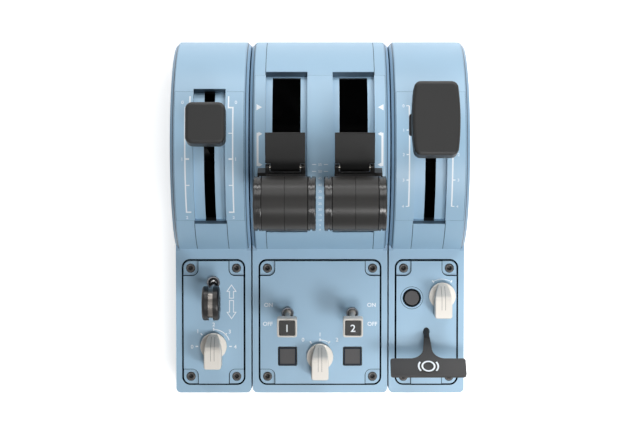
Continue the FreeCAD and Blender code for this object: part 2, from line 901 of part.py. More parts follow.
for module, (module_x, module_width) in MODULES.items():
    edge = module_width / 2 - s.rim_width - s.plate_gap
    borders = [-edge]
    for offset, channel, *_ in channels(module):
        borders += [offset - channel / 2, offset + channel / 2]
    borders.append(edge)
    if module == "centre":
        ends = (-s.centre_plate_front, s.centre_plate_rear)
    else:
        ends = (-s.side_plate_front, s.side_plate_rear)
    strips = [(module_x, a, b, *ends) for a, b in zip(borders[::2], borders[1::2])]
    solids(module + "_scale_plates", make_strip, strips)


def make_slot_guide(label, centre_x, offset, channel, slot, front, rear, ledge):
    """The curved floor of a lever channel, a tray under the drum's wall with the lever's slot."""
    body = new_body(label)
    in_drum(body, centre_x)
    outer = s.drum_radius - s.wall
    margin = s.guide_margin / outer * (180 / math.pi)
    tray = sector(
        new_sketch(body, label + "_tray", "YZ", offset),
        outer - s.guide_step - s.guide_floor, outer, front - margin, rear + margin,
    )
    pad(body, label + "_block", tray, channel + 2 * s.guide_margin, both_sides=True)
    recess = sector(
        new_sketch(body, label + "_recess", "YZ", offset),
        outer - s.guide_step, outer + 1, front, rear,
    )
    pocket(body, label + "_floor", recess, channel, both_sides=True)
    opening = sector(
        new_sketch(body, label + "_slot", "YZ", offset),
        outer - s.guide_step - s.guide_floor - 1, outer,
        front + ledge, rear - ledge,
    )
    pocket(body, label + "_slot_cut", opening, slot, both_sides=True)
    return body


guide_spots = [
    (module_x, *channel)
    for module, (module_x, _) in MODULES.items()
    for channel in channels(module)
]
solids("slot_guides", make_slot_guide, guide_spots)


# ---------------------------------------------------------------------------------- faceplates
FACE_HOLES = {
    # circles: (x, distance in front of the drum foot, radius); squares: (x, distance, width)
    "left": {
        "circles": [
            (as_size(0), s.gear_place, s.gear_ball_radius + s.running_gap + s.toggle_wall),
            (as_size(0), s.autobrake_place, s.shaft_radius + s.running_gap),
        ],
        "squares": [],
    },
    "centre": {
        "circles": [
            (sign * s.master_offset, s.master_place,
             s.master_ball_radius + s.running_gap + s.toggle_wall)
            for sign in (-1, 1)
        ] + [(as_size(0), s.mode_place, s.shaft_radius + s.running_gap)],
        "squares": [(sign * s.button_offset, s.button_place) for sign in (-1, 1)],
    },
    "right": {
        "circles": [
            (-s.reset_offset, s.reset_place, s.reset_radius + s.reset_gap),
            (s.trim_offset, s.trim_place, s.shaft_radius + s.running_gap),
        ],
        "squares": [],
    },
}


def make_faceplate(name, centre_x, width):
    body = new_body(name + "_faceplate")
    on_deck(body, centre_x, -face_centre)
    face_width = width - 2 * s.face_margin
    base = rounded_rectangle(
        new_sketch(body, name + "_face_plan", "XY", -s.face_depth),
        0, 0, face_width, s.face_length, s.face_radius,
    )
    pad(body, name + "_face_base", base, s.face_depth - s.pad_sink)
    raised = notched_rectangle(
        new_sketch(body, name + "_face_raised", "XY", -s.pad_sink),
        face_width, s.face_length, s.pad_size, s.pad_radius,
    )
    pad(body, name + "_face_top", raised, s.pad_sink + s.face_raise)
    heads = new_sketch(body, name + "_head_seats", "XY", -s.pad_sink)
    for x, y in corner_places(face_width):
        circle(heads, x, y, s.screw_head_radius + s.running_gap)
    pocket(body, name + "_counterbores", heads, s.face_seat)
    holes = new_sketch(body, name + "_face_holes", "XY", s.face_raise)
    for x, y in corner_places(face_width):
        circle(holes, x, y, s.screw_radius)
    for x, distance, radius in FACE_HOLES[name]["circles"]:
        circle(holes, x, face_centre - distance, radius)
    for x, distance in FACE_HOLES[name]["squares"]:
        side = s.button_width + 2 * s.running_gap
        rounded_rectangle(holes, x, face_centre - distance, side, side, s.button_corner)
    if name == "right":
        leaned = new_sketch(
            body, name + "_stem_bore", "XY",
            shift=f"placement(vector(0; {(face_centre - s.brake_place).text}; 0);"
            f" rotation(vector(1; 0; 0); {s.brake_lean.text}); vector(0; 0; 0))",
        )
        circle(leaned, 0, 0, s.brake_stem_radius + s.running_gap)
        pocket(body, name + "_stem_hole", leaned, 6 * s.face_depth, both_sides=True)
    pocket(body, name + "_face_drills", holes, s.face_depth + s.face_raise)


face_screw_spots = []
for module, (module_x, module_width) in MODULES.items():
    make_faceplate(module, module_x, module_width)
    for x, y in corner_places(module_width - 2 * s.face_margin):
        rise = -s.pad_sink - s.face_seat + s.screw_head_height
        forward = y - face_centre
        face_screw_spots.append(
            (
                module_x + x,
                deck_y + forward * cosine(s.deck_tilt) - rise * sine(s.deck_tilt),
                deck_z + forward * sine(s.deck_tilt) + rise * cosine(s.deck_tilt),
                s.deck_tilt,
                False,
            )
        )
solids("faceplate_screws", make_screw, face_screw_spots)


# ------------------------------------------------------------------- inner frames, axles, electronics
def hubs(name):
    """Hub offsets and the hub's width in a module."""
    if name == "centre":
        return [-s.thrust_offset, s.thrust_offset], s.centre_hub_width
    return [as_size(0)], s.side_hub_width


def make_frame(name, centre_x):
    """A folded bracket on the bottom cover, with a pair of cheeks for each lever's axle."""
    body = new_body(name + "_lever_frame")
    in_drum(body, centre_x)
    offsets, hub = hubs(name)
    half = hub / 2 + s.hub_gap
    outer = offsets[-1] + half + s.frame_thickness
    base = rectangle(
        new_sketch(body, name + "_frame_plan", "XY", floor_level),
        0, 0, 2 * outer, 2 * s.frame_half_length,
    )
    pad(body, name + "_frame_base", base, s.frame_thickness)
    for number, offset in enumerate(offsets, start=1):
        for mark, sign in (("left", -1), ("right", 1)):
            middle = offset + sign * (half + s.frame_thickness / 2)
            cheek = outline(
                new_sketch(body, f"{name}_cheek_{mark}_{number}", "YZ", middle),
                [
                    (s.frame_half_length, floor_level),
                    (s.frame_top_radius, 0),
                    (-s.frame_top_radius, 0, 0, 0, 1),
                    (-s.frame_half_length, floor_level),
                ],
            )
            pad(body, f"{name}_plate_{mark}_{number}", cheek, s.frame_thickness, both_sides=True)
    bore = circle(new_sketch(body, name + "_frame_bore", "YZ"), 0, 0, s.axle_radius)
    pocket(body, name + "_axle_holes", bore, 2 * outer, both_sides=True)


def make_axle(label, centre_x, length):
    axle = doc.addObject("Part::Cylinder", label)
    bind(axle, "Radius", s.axle_radius)
    bind(axle, "Height", length)
    start = as_size(centre_x) - length / 2
    axle.setExpression(
        "Placement",
        f"placement(vector({start.text}; {axis_y.text}; {s.axis_height.text});"
        " rotation(vector(0; 1; 0); 90); vector(0; 0; 0))",
    )
    return axle


def make_washer(label, centre_x, middle):
    body = new_body(label)
    in_drum(body, centre_x)
    ring = circle(new_sketch(body, label + "_ring", "YZ", middle), 0, 0, s.washer_radius)
    circle(ring, 0, 0, s.axle_radius + s.fit_gap)
    pad(body, label + "_disc", ring, s.washer_thickness, both_sides=True)
    return body


axle_spots = []
washer_spots = []
for module, (module_x, _) in MODULES.items():
    make_frame(module, module_x)
    offsets, hub = hubs(module)
    half = hub / 2 + s.hub_gap
    axle_spots.append((module_x, 2 * (offsets[-1] + half + s.frame_thickness)))
    for offset in offsets:
        for sign in (-1, 1):
            washer_spots.append((module_x, offset + sign * (half - s.washer_thickness / 2)))
solids("lever_axles", make_axle, axle_spots)
solids("axle_washers", make_washer, washer_spots)

board_drop = s.face_depth + s.switch_depth


def make_board(label, centre_x, width):
    """A circuit board that hangs under a faceplate, on its switches."""
    board = doc.addObject("Part::Box", label)
    span = width - 2 * s.face_margin - 2 * s.board_margin
    bind(board, "Length", span)
    bind(board, "Width", s.board_length)
    bind(board, "Height", s.board_thickness)
    on_deck(
        board, as_size(centre_x) - span / 2, -face_centre - s.board_length / 2,
        -board_drop - s.board_thickness,
    )
    return board


def make_port_board(label):
    board = doc.addObject("Part::Box", label)
    bind(board, "Length", 2 * s.port_width)
    bind(board, "Width", 2 * s.port_width)
    bind(board, "Height", s.board_thickness)
    back = axis_y + s.drum_radius - s.wall - s.running_gap
    place(board, -s.port_width, back - 2 * s.port_width, s.axis_height + floor_level)
    return board


boards = [make_board(module + "_board", *spot) for module, spot in MODULES.items()]
group("circuit_boards", boards + [make_port_board("usb_board")])

port = new_body("usb_port")
in_drum(port)
port_plan = rounded_rectangle(
    new_sketch(port, "port_outline", "XZ", -(s.drum_radius - s.port_inset)),
    0, port_level, s.port_width, s.port_height, s.port_round,
)
pad(port, "port_shell", port_plan, s.port_depth)
port_mouth = rounded_rectangle(
    new_sketch(port, "port_mouth", "XZ", -(s.drum_radius - s.port_inset)),
    0, port_level, s.port_width - 2 * s.port_wall, s.port_height - 2 * s.port_wall,
    s.port_round - s.port_wall,
)
pocket(port, "port_socket", port_mouth, s.port_depth - 1, down=False)
port_tongue = rectangle(
    new_sketch(port, "port_tongue", "XZ", -(s.drum_radius - s.port_inset - 1)),
    0, port_level, s.port_width - 2 * s.tongue_margin, s.tongue_thickness,
)
pad(port, "port_contacts", port_tongue, s.port_depth - 2)


def make_rotary_switch(label, centre_x, distance):
    """The body of a rotary switch under a faceplate, down to the circuit board."""
    body = new_body(label)
    on_deck(body, centre_x, -distance, -s.face_depth)
    can = circle(new_sketch(body, label + "_can", "XY"), 0, 0, s.switch_radius)
    pad(body, label + "_block", can, s.switch_depth, down=True)
    bore = circle(new_sketch(body, label + "_bore", "XY"), 0, 0, s.shaft_radius + s.fit_gap)
    pocket(body, label + "_shaft_hole", bore, s.switch_depth - 2)
    return body


solids(
    "rotary_switches", make_rotary_switch,
    [
        (-side_x, s.autobrake_place),
        (as_size(0), s.mode_place),
        (side_x + s.trim_offset, s.trim_place),
    ],
)

button_bottom = s.face_raise + s.button_rise - s.button_height
plunger_level = button_bottom - s.button_travel - s.running_gap


def make_push_switch(label, centre_x, distance):
    """A tactile switch on the circuit board, below a button."""
    body = new_body(label)
    on_deck(body, centre_x, -distance, -board_drop)
    plan = rounded_rectangle(
        new_sketch(body, label + "_plan", "XY"), 0, 0, s.tactile_width, s.tactile_width,
        s.tactile_corner,
    )
    pad(body, label + "_case", plan, board_drop + plunger_level - 1)
    tip = circle(
        new_sketch(body, label + "_tip", "XY", board_drop + plunger_level - 1), 0, 0, s.shaft_radius
    )
    pad(body, label + "_plunger", tip, 1)
    return body


solids(
    "push_switches", make_push_switch,
    [
        (-s.button_offset, s.button_place),
        (s.button_offset, s.button_place),
        (side_x - s.reset_offset, s.reset_place),
    ],
)


def make_toggle_switch(label, centre_x, distance, ball_radius, pivot_depth):
    """A toggle switch: a case under the faceplate and a round bush that comes up through it."""
    body = new_body(label)
    on_deck(body, centre_x, -distance)
    bush_radius = ball_radius + s.running_gap + s.toggle_wall
    case = rounded_rectangle(
        new_sketch(body, label + "_plan", "XY", -s.face_depth),
        0, 0, 2 * bush_radius + 2, 2 * (bush_radius + s.toggle_case_end), 1,
    )
    pad(body, label + "_case", case, s.switch_depth, down=True)
    bush = circle(new_sketch(body, label + "_bush", "XY", -s.face_depth), 0, 0, bush_radius)
    pad(body, label + "_collar", bush, s.face_depth + s.face_raise + s.toggle_rise)
    bore = circle(
        new_sketch(body, label + "_bore", "XY", s.face_raise + s.toggle_rise),
        0, 0, ball_radius + s.running_gap,
    )
    depth = s.face_raise + s.toggle_rise + pivot_depth + ball_radius + s.running_gap
    pocket(body, label + "_ball_seat", bore, depth)
    dress(
        body, "Chamfer", label + "_lip", s.toggle_lip,
        lambda e: is_arc(e, bush_radius) and at_height(e, s.face_raise + s.toggle_rise),
    )
    return body


solids(
    "toggle_switches", make_toggle_switch,
    [(-side_x, s.gear_place, s.gear_ball_radius, s.gear_pivot_depth)] + [
        (sign * s.master_offset, s.master_place, s.master_ball_radius, s.master_pivot_depth)
        for sign in (-1, 1)
    ],
)

brake_block = new_body("park_brake_bearing")
on_deck(brake_block, side_x, -s.brake_place)
block_plan = rounded_rectangle(
    new_sketch(brake_block, "bearing_plan", "XY", -s.face_depth),
    0, s.brake_stem_radius * 2, s.brake_block_width, s.brake_block_length, 1,
)
pad(brake_block, "bearing_case", block_plan, s.switch_depth, down=True)
stem_bore = circle(
    new_sketch(
        brake_block, "bearing_bore", "XY",
        shift=f"placement(vector(0; 0; 0); rotation(vector(1; 0; 0); {s.brake_lean.text});"
        " vector(0; 0; 0))",
    ),
    0, 0, s.brake_stem_radius + s.fit_gap,
)
pocket(brake_block, "bearing_hole", stem_bore, s.brake_stem_depth)


# ------------------------------------------------------------------------ speed brake and flap levers
def make_side_arm(label, centre_x, lean, top):
    """A flat lever with a round hub on the axle."""
    body = new_body(label)
    in_drum(body, centre_x, lean)
    hub = circle(new_sketch(body, label + "_hub", "YZ"), 0, 0, s.hub_radius)
    pad(body, label + "_hub_disc", hub, s.side_hub_width, both_sides=True)
    blade = rectangle(
        new_sketch(body, label + "_blade", "YZ"), 0, top / 2, s.side_arm_width, top
    )
    pad(body, label + "_plate", blade, s.side_arm_thickness, both_sides=True)
    bore = circle(new_sketch(body, label + "_bore", "YZ"), 0, 0, s.axle_radius + s.fit_gap)
    pocket(body, label + "_axle_bore", bore, s.side_hub_width, both_sides=True)
    return body


def make_knob(label, centre_x, lean, centre, width, length, thickness, gap, bulge):
    """A moulded lever knob with a socket for the arm. Its sides may bulge by a given amount."""
    body = new_body(label)
    in_drum(body, centre_x, lean)
    bottom = centre - thickness / 2
    plan = new_sketch(body, label + "_plan", "XY", bottom)
    if bulge is None:
        rectangle(plan, 0, 0, width, length)
    else:
        barrel_outline(plan, width / 2, length / 2, bulge)
    pad(body, label + "_block", plan, thickness)
    dress(
        body, "Fillet", label + "_corners", s.knob_corner, lambda e: lies_along(e, "z"),
    )
    top = bottom + thickness
    dress(body, "Fillet", label + "_crown", s.knob_round, lambda e: at_height(e, top))
    dress(body, "Fillet", label + "_skirt", s.knob_round / 2, lambda e: at_height(e, bottom))
    socket = rectangle(
        new_sketch(body, label + "_socket", "XY", bottom),
        0, 0, s.side_arm_thickness + 2 * gap, s.side_arm_width + 2 * gap,
    )
    pocket(body, label + "_socket_cut", socket, thickness - s.knob_roof, down=False)
    return body


def barrel_outline(sketch, a, b, bulge):
    """A rectangle of half sizes a and b, its long sides bowed out to a."""
    big = (b * b + bulge * bulge) / (2 * bulge)
    return outline(
        sketch,
        [
            (a - bulge, b, a - big, 0, 1),
            (-(a - bulge), b),
            (-(a - bulge), -b, -(a - big), 0, 1),
            (a - bulge, -b),
        ],
    )


speedbrake_top = s.speedbrake_height + s.speedbrake_knob_thickness / 2 - s.knob_roof
make_side_arm("speedbrake_arm", -side_x, s.speedbrake_lean, speedbrake_top - s.running_gap)
make_knob(
    "speedbrake_knob", -side_x, s.speedbrake_lean, s.speedbrake_height, s.speedbrake_knob_width,
    s.speedbrake_knob_length, s.speedbrake_knob_thickness, s.running_gap, None,
)
flap_top = s.flap_height + s.flap_knob_thickness / 2 - s.knob_roof
make_side_arm("flap_arm", side_x, s.flap_lean, flap_top)
make_knob(
    "flap_knob", side_x, s.flap_lean, s.flap_height, s.flap_knob_width, s.flap_knob_length,
    s.flap_knob_thickness, as_size(0), s.flap_bulge,
)

collar = new_body("flap_collar")
in_drum(collar, side_x, s.flap_lean)
collar_top = s.flap_height - s.flap_knob_thickness / 2 - s.knob_travel - s.running_gap
collar_level = collar_top - s.flap_collar_height
collar_plan = rounded_rectangle(
    new_sketch(collar, "collar_plan", "XY", collar_level),
    0, 0, s.collar_width, s.side_arm_width + 2 * s.collar_overhang, s.collar_corner,
)
pad(collar, "collar_block", collar_plan, s.flap_collar_height)
tab_reach = s.flap_knob_width / 2 + s.collar_tab_reach
tab_plan = rounded_rectangle(
    new_sketch(collar, "tab_plan", "XY", collar_level),
    -tab_reach / 2, 0, tab_reach, s.collar_tab_length, s.collar_tab_corner,
)
pad(collar, "collar_tab", tab_plan, s.collar_tab_thickness)
collar_bore = rectangle(
    new_sketch(collar, "collar_bore", "XY", collar_level),
    0, 0, s.side_arm_thickness + 2 * s.running_gap, s.side_arm_width + 2 * s.running_gap,
)
pocket(collar, "collar_opening", collar_bore, s.flap_collar_height, down=False)


# --------------------------------------------------------------------------------- thrust levers
def make_thrust_arm(number, sign):
    """The lever's bare metal arm with its broad head, the neck and the round core of the grip."""
    label = f"thrust_arm_{number}"
    body = new_body(label)
    in_drum(body, sign * s.thrust_offset, -s.thrust_lean)
    hub = circle(new_sketch(body, label + "_hub", "YZ"), 0, 0, s.hub_radius)
    pad(body, label + "_hub_disc", hub, s.centre_hub_width, both_sides=True)
    shank_width = s.thrust_arm_width
    shank = rectangle(
        new_sketch(body, label + "_shank", "YZ"), 0, s.head_level / 2, shank_width, s.head_level
    )
    pad(body, label + "_blade", shank, s.thrust_arm_thickness, both_sides=True)
    head = rectangle(
        new_sketch(body, label + "_head", "YZ"),
        (s.head_front - s.head_rear) / 2, s.head_level + s.head_height / 2,
        s.head_front + s.head_rear, s.head_height,
    )
    pad(body, label + "_head_block", head, s.head_width, both_sides=True)
    dress(
        body, "Fillet", label + "_head_rounds", s.head_round,
        lambda e: lies_along(e, "x") and abs(e.Length - s.head_width.number) < 1e-6,
    )
    neck_length = s.grip_height - s.head_level
    neck = rectangle(
        new_sketch(body, label + "_neck", "YZ"),
        0, s.head_level + neck_length / 2, s.neck_width, neck_length,
    )
    pad(body, label + "_neck_block", neck, s.neck_width, both_sides=True)
    core = circle(
        new_sketch(body, label + "_core", "YZ"), 0, s.grip_height, s.grip_core_radius
    )
    pad(body, label + "_core_bar", core, s.grip_body_width, both_sides=True)
    # hinge lugs of the reverse lever, one at each side of the head
    for mark, side in (("left", -1), ("right", 1)):
        lug = outline(
            new_sketch(
                body, f"{label}_lug_{mark}", "YZ", side * (s.head_width - s.lug_width) / 2
            ),
            [
                (s.pin_forward, s.pin_level - s.lug_radius),
                (s.pin_forward, s.pin_level + s.lug_radius, s.pin_forward, s.pin_level, 1),
                (s.head_front - s.head_round, s.pin_level - s.lug_radius / 2),
                (s.head_front - s.head_round, s.pin_level - 3 * s.lug_radius),
            ],
        )
        pad(body, f"{label}_hinge_lug_{mark}", lug, s.lug_width, both_sides=True)
    pin_hole = circle(
        new_sketch(body, label + "_pin_hole", "YZ"), s.pin_forward, s.pin_level,
        s.reverse_pin_radius,
    )
    pocket(body, label + "_pin_bore", pin_hole, s.head_width, both_sides=True)
    bore = circle(new_sketch(body, label + "_bore", "YZ"), 0, 0, s.axle_radius + s.fit_gap)
    pocket(body, label + "_axle_bore", bore, s.centre_hub_width, both_sides=True)
    # the small stop block outside the head
    block = rectangle(
        new_sketch(body, label + "_stop", "YZ", sign * (s.head_width + s.stop_width) / 2),
        s.head_front - s.stop_length / 2, s.head_level + s.head_height - s.stop_height / 2,
        s.stop_length, s.stop_height,
    )
    pad(body, label + "_stop_block", block, s.stop_width, both_sides=True)


def make_grip_shell(label, sign, side):
    """One half of a grip's round body, round the core, open below for the neck."""
    body = new_body(label)
    in_drum(body, sign * s.thrust_offset, -s.thrust_lean)
    length = s.grip_body_width / 2 - s.seam_width / 4
    middle = side * (s.grip_body_width / 2 - length / 2)
    ring = circle(
        new_sketch(body, label + "_ring", "YZ", middle), 0, s.grip_height, s.grip_radius
    )
    circle(ring, 0, s.grip_height, s.grip_core_radius)
    pad(body, label + "_tube", ring, length, both_sides=True)
    cut = rectangle(
        new_sketch(body, label + "_gap", "YZ"),
        0, s.grip_height - s.grip_radius, s.neck_width, 2 * s.grip_radius,
    )
    pocket(body, label + "_neck_gap", cut, s.neck_width, both_sides=True)
    return body


def make_grip_cap(label, sign, side):
    """A grooved end ring of a grip. The outer one is bored for the disconnect button."""
    body = new_body(label)
    in_drum(body, sign * s.thrust_offset, -s.thrust_lean)
    start = s.grip_body_width / 2
    end = start + s.grip_cap_width
    middle = side * (start + end) / 2
    disc = circle(
        new_sketch(body, label + "_disc", "YZ", middle), 0, s.grip_height, s.grip_radius
    )
    pad(body, label + "_ring", disc, s.grip_cap_width, both_sides=True)
    rim = s.grip_radius
    dress(body, "Fillet", label + "_rounds", s.cap_round, lambda e: is_arc(e, rim))
    groove = circle(
        new_sketch(body, label + "_groove", "YZ", side * (start + s.cap_groove_place)),
        0, s.grip_height, s.grip_radius + 1,
    )
    circle(groove, 0, s.grip_height, s.grip_radius - s.cap_groove)
    pocket(body, label + "_groove_cut", groove, s.cap_groove_width, both_sides=True)
    dish = circle(
        new_sketch(body, label + "_dish", "YZ", side * end), 0, s.grip_height,
        s.disconnect_radius + s.running_gap,
    )
    depth = s.grip_cap_width if side == sign else s.cap_dish
    pocket(body, label + "_dish_cut", dish, depth, down=side > 0)
    return body


def make_disconnect_button(number, sign):
    label = f"disconnect_button_{number}"
    body = new_body(label)
    in_drum(body, sign * s.thrust_offset, -s.thrust_lean)
    start = s.grip_body_width / 2 + s.disconnect_travel + s.running_gap
    end = s.grip_body_width / 2 + s.grip_cap_width + s.disconnect_rise
    disc = circle(
        new_sketch(body, label + "_disc", "YZ", sign * (start + end) / 2),
        0, s.grip_height, s.disconnect_radius,
    )
    pad(body, label + "_cap", disc, end - start, both_sides=True)
    edge = s.disconnect_radius
    dress(body, "Fillet", label + "_rounds", s.cap_round, lambda e: is_arc(e, edge))


def make_reverse_lever(number, sign):
    """A hooded finger lever hinged on the thrust lever's head."""
    label = f"reverse_lever_{number}"
    body = new_body(label)
    in_drum(body, sign * s.thrust_offset, -s.thrust_lean)
    front = s.pin_forward + s.reverse_length
    top = s.pin_level + s.knuckle_radius
    t = s.reverse_thickness
    inner = top - t
    low = inner - s.hood_skirt
    hood = outline(
        new_sketch(body, label + "_side", "YZ"),
        [
            (front - s.hood_tuck, low),
            (front, top - s.hood_round),
            (front - s.hood_round, top, front - s.hood_round, top - s.hood_round, 1),
            (s.pin_forward, top),
            (
                s.pin_forward, s.pin_level - s.knuckle_radius,
                s.pin_forward, s.pin_level, 1,
            ),
            (s.pin_forward + s.knuckle_radius, inner),
            (front - t, inner),
            (front - s.hood_tuck - t, low),
        ],
    )
    pad(body, label + "_hood", hood, s.reverse_width, both_sides=True)
    notches = new_sketch(body, label + "_notch_plan", "XY", top)
    notch = s.lug_width + s.knuckle_gap
    notch_end = s.pin_forward + s.hood_notch
    notch_start = s.pin_forward - 2 * s.knuckle_radius
    for side in (-1, 1):
        rectangle(
            notches, side * (s.reverse_width - notch) / 2, (notch_start + notch_end) / 2,
            notch, notch_end - notch_start,
        )
    pocket(body, label + "_notches", notches, 2 * s.knuckle_radius)
    pin_bore = circle(
        new_sketch(body, label + "_pin_bore", "YZ"), s.pin_forward, s.pin_level,
        s.reverse_pin_radius + s.fit_gap,
    )
    pocket(body, label + "_pin_holes", pin_bore, s.reverse_width, both_sides=True)


def make_reverse_pin(number, sign):
    label = f"reverse_pin_{number}"
    body = new_body(label)
    in_drum(body, sign * s.thrust_offset, -s.thrust_lean)
    rod = circle(
        new_sketch(body, label + "_rod", "YZ"), s.pin_forward, s.pin_level, s.reverse_pin_radius
    )
    pad(body, label + "_pin", rod, s.reverse_width - 1, both_sides=True)


for number, sign in ((1, -1), (2, 1)):
    make_thrust_arm(number, sign)
    solids(f"grip_shells_{number}", make_grip_shell, [(sign, -1), (sign, 1)])
    solids(f"grip_caps_{number}", make_grip_cap, [(sign, -1), (sign, 1)])
    make_disconnect_button(number, sign)
    make_reverse_lever(number, sign)
    make_reverse_pin(number, sign)


# ---------------------------------------------------------------------------------- deck controls
def make_pointer_knob(label, centre_x, distance):
    """A round skirt with a tall finger bar that reaches out towards the user, on its shaft."""
    body = new_body(label)
    on_deck(body, centre_x, -distance, s.face_raise)
    disc = circle(
        new_sketch(body, label + "_skirt", "XY", s.knob_lift), 0, 0, s.knob_disc_radius
    )
    pad(body, label + "_disc", disc, s.knob_disc_height)
    disc_top = s.knob_lift + s.knob_disc_height
    half = s.knob_bar_width / 2
    tip = s.knob_tip_width / 2
    taper = s.knob_bar_rear + s.knob_taper_start
    sweep = ((half - tip) * (half - tip) + taper * taper) / (2 * (half - tip))
    plan = outline(
        new_sketch(body, label + "_plan", "XY", s.knob_lift + s.knob_under),
        [
            (half, -s.knob_bar_front),
            (half, -s.knob_taper_start),
            (tip, s.knob_bar_rear, half - sweep, -s.knob_taper_start, 1),
            (-tip, s.knob_bar_rear),
            (-half, -s.knob_taper_start, sweep - half, -s.knob_taper_start, 1),
            (-half, -s.knob_bar_front),
        ],
    )
    pad(body, label + "_bar", plan, s.knob_height - s.knob_lift - s.knob_under)
    slope = outline(
        new_sketch(body, label + "_side", "YZ"),
        [
            (s.knob_bar_rear, disc_top),
            (s.knob_bar_rear + 1, disc_top),
            (s.knob_bar_rear + 1, s.knob_height),
            (s.knob_bar_rear - s.knob_slope, s.knob_height),
        ],
    )
    pocket(body, label + "_slope", slope, s.knob_bar_width, both_sides=True)
    dress(
        body, "Fillet", label + "_front_rounds", s.knob_bar_round,
        lambda e: lies_along(e, "z", lambda p: p.y < -s.knob_bar_front.number + 0.01),
    )
    top = s.knob_height
    brow = (s.knob_bar_rear - s.knob_slope).number
    dress(
        body, "Fillet", label + "_brow", s.knob_brow,
        lambda e: at_height(e, top) and lies_along(e, "x", lambda p: abs(p.y - brow) < 0.01),
    )
    dress(
        body, "Fillet", label + "_crown", s.knob_bar_round / 2,
        lambda e: at_height(e, top)
        and not lies_along(e, "x", lambda p: p.y > -s.knob_bar_front.number / 2),
    )
    shaft = circle(new_sketch(body, label + "_shaft", "XY", s.knob_lift), 0, 0, s.shaft_radius)
    pad(body, label + "_spindle", shaft, s.face_depth + s.switch_depth - s.spindle_gap, down=True)
    return body


make_pointer_knob("autobrake_knob", -side_x, s.autobrake_place)
make_pointer_knob("mode_knob", 0, s.mode_place)
make_pointer_knob("trim_knob", side_x + s.trim_offset, s.trim_place)


def make_ball_rod(body, label, ball_radius, rod_radius, length):
    """The ball of a toggle lever and the rod that stands on it, as one turned profile."""
    meet = root(ball_radius * ball_radius - rod_radius * rod_radius)
    turned = outline(
        new_sketch(body, label + "_turning", "XZ"),
        [
            (0, -ball_radius),
            (rod_radius, meet, 0, 0, 1),
            (rod_radius, length),
            (0, length),
        ],
    )
    revolve(body, label + "_ball", turned, "V_Axis")


def make_gear_lever():
    body = new_body("gear_lever")
    on_deck(body, -side_x, -s.gear_place, -s.gear_pivot_depth, s.gear_lean)
    make_ball_rod(body, "gear", s.gear_ball_radius, s.gear_rod_radius, s.gear_reach)


def make_gear_wheel():
    """The wheel-shaped knob: two tyres on a hub, turned about the wheel's own axle."""
    body = new_body("gear_wheel")
    on_deck(body, -side_x, -s.gear_place, -s.gear_pivot_depth, s.gear_lean)
    half, radius, r = s.gear_wheel_width / 2, s.gear_wheel_radius, s.tyre_round
    centre = s.gear_reach
    sketch = new_sketch(body, "wheel_profile", "XZ")
    outline(
        sketch,
        [
            (half, centre + s.gear_hub_radius),
            (half, centre + radius - r),
            (half - r, centre + radius, half - r, centre + radius - r, 1),
            (s.tyre_gap / 2, centre + radius),
            (s.tyre_gap / 2, centre + radius - s.tyre_gap_depth),
            (-s.tyre_gap / 2, centre + radius - s.tyre_gap_depth),
            (-s.tyre_gap / 2, centre + radius),
            (-(half - r), centre + radius),
            (-half, centre + radius - r, -(half - r), centre + radius - r, 1),
            (-half, centre + s.gear_hub_radius),
            (-(half - s.hub_dish), centre + s.gear_hub_radius),
            (-(half - s.hub_dish), centre),
            (half - s.hub_dish, centre),
            (half - s.hub_dish, centre + s.gear_hub_radius),
        ],
    )
    feature = body.newObject("PartDesign::Revolution", "wheel_turned")
    axle = new_sketch(body, "wheel_axle", "XZ")
    line = axle.addGeometry(
        Part.LineSegment(
            FreeCAD.Vector(-half.number, centre.number, 0),
            FreeCAD.Vector(half.number, centre.number, 0),
        )
    )
    fix_point(axle, line, 1, -half, centre)
    fix_point(axle, line, 2, half, centre)
    feature.Profile = sketch
    feature.ReferenceAxis = (axle, ["Edge1"])
    feature.Angle = 360
    doc.recompute()
    bore = circle(new_sketch(body, "wheel_bore", "XY"), 0, 0, s.gear_rod_radius)
    pocket(body, "wheel_rod_hole", bore, s.gear_reach, down=False)


make_gear_lever()
make_gear_wheel()


def make_master_lever(number, sign):
    label = f"master_lever_{number}"
    body = new_body(label)
    on_deck(
        body, sign * s.master_offset, -s.master_place, -s.master_pivot_depth, s.master_lean
    )
    length = s.master_reach - s.master_cap_height / 2
    make_ball_rod(body, label, s.master_ball_radius, s.master_rod_radius, length)
    cap = rounded_rectangle(
        new_sketch(body, label + "_cap_plan", "XY", length - 1),
        0, 0, s.master_cap, s.master_cap, s.master_cap_corner,
    )
    pad(body, label + "_cap", cap, s.master_cap_height)
    top = length - 1 + s.master_cap_height
    window = rounded_rectangle(
        new_sketch(body, label + "_window", "XY", top),
        0, 0, s.master_window, s.master_window, s.master_cap_corner / 2,
    )
    pocket(body, label + "_legend_seat", window, s.legend_depth)
    dress(
        body, "Chamfer", label + "_rim", s.legend_depth / 2,
        lambda e: at_height(e, top) and e.BoundBox.XMax + e.BoundBox.YMax > s.master_cap.number / 2,
    )


def make_legend(label, sign):
    """The dark face that is set in a master lever's cap."""
    body = new_body(label)
    on_deck(
        body, sign * s.master_offset, -s.master_place, -s.master_pivot_depth, s.master_lean
    )
    top = s.master_reach + s.master_cap_height / 2 - 1
    plan = rounded_rectangle(
        new_sketch(body, label + "_plan", "XY", top - s.legend_depth),
        0, 0, s.master_window, s.master_window, s.master_cap_corner / 2,
    )
    pad(body, label + "_face", plan, s.legend_thickness)


for number, sign in ((1, -1), (2, 1)):
    make_master_lever(number, sign)
    make_legend(f"master_legend_{number}", sign)


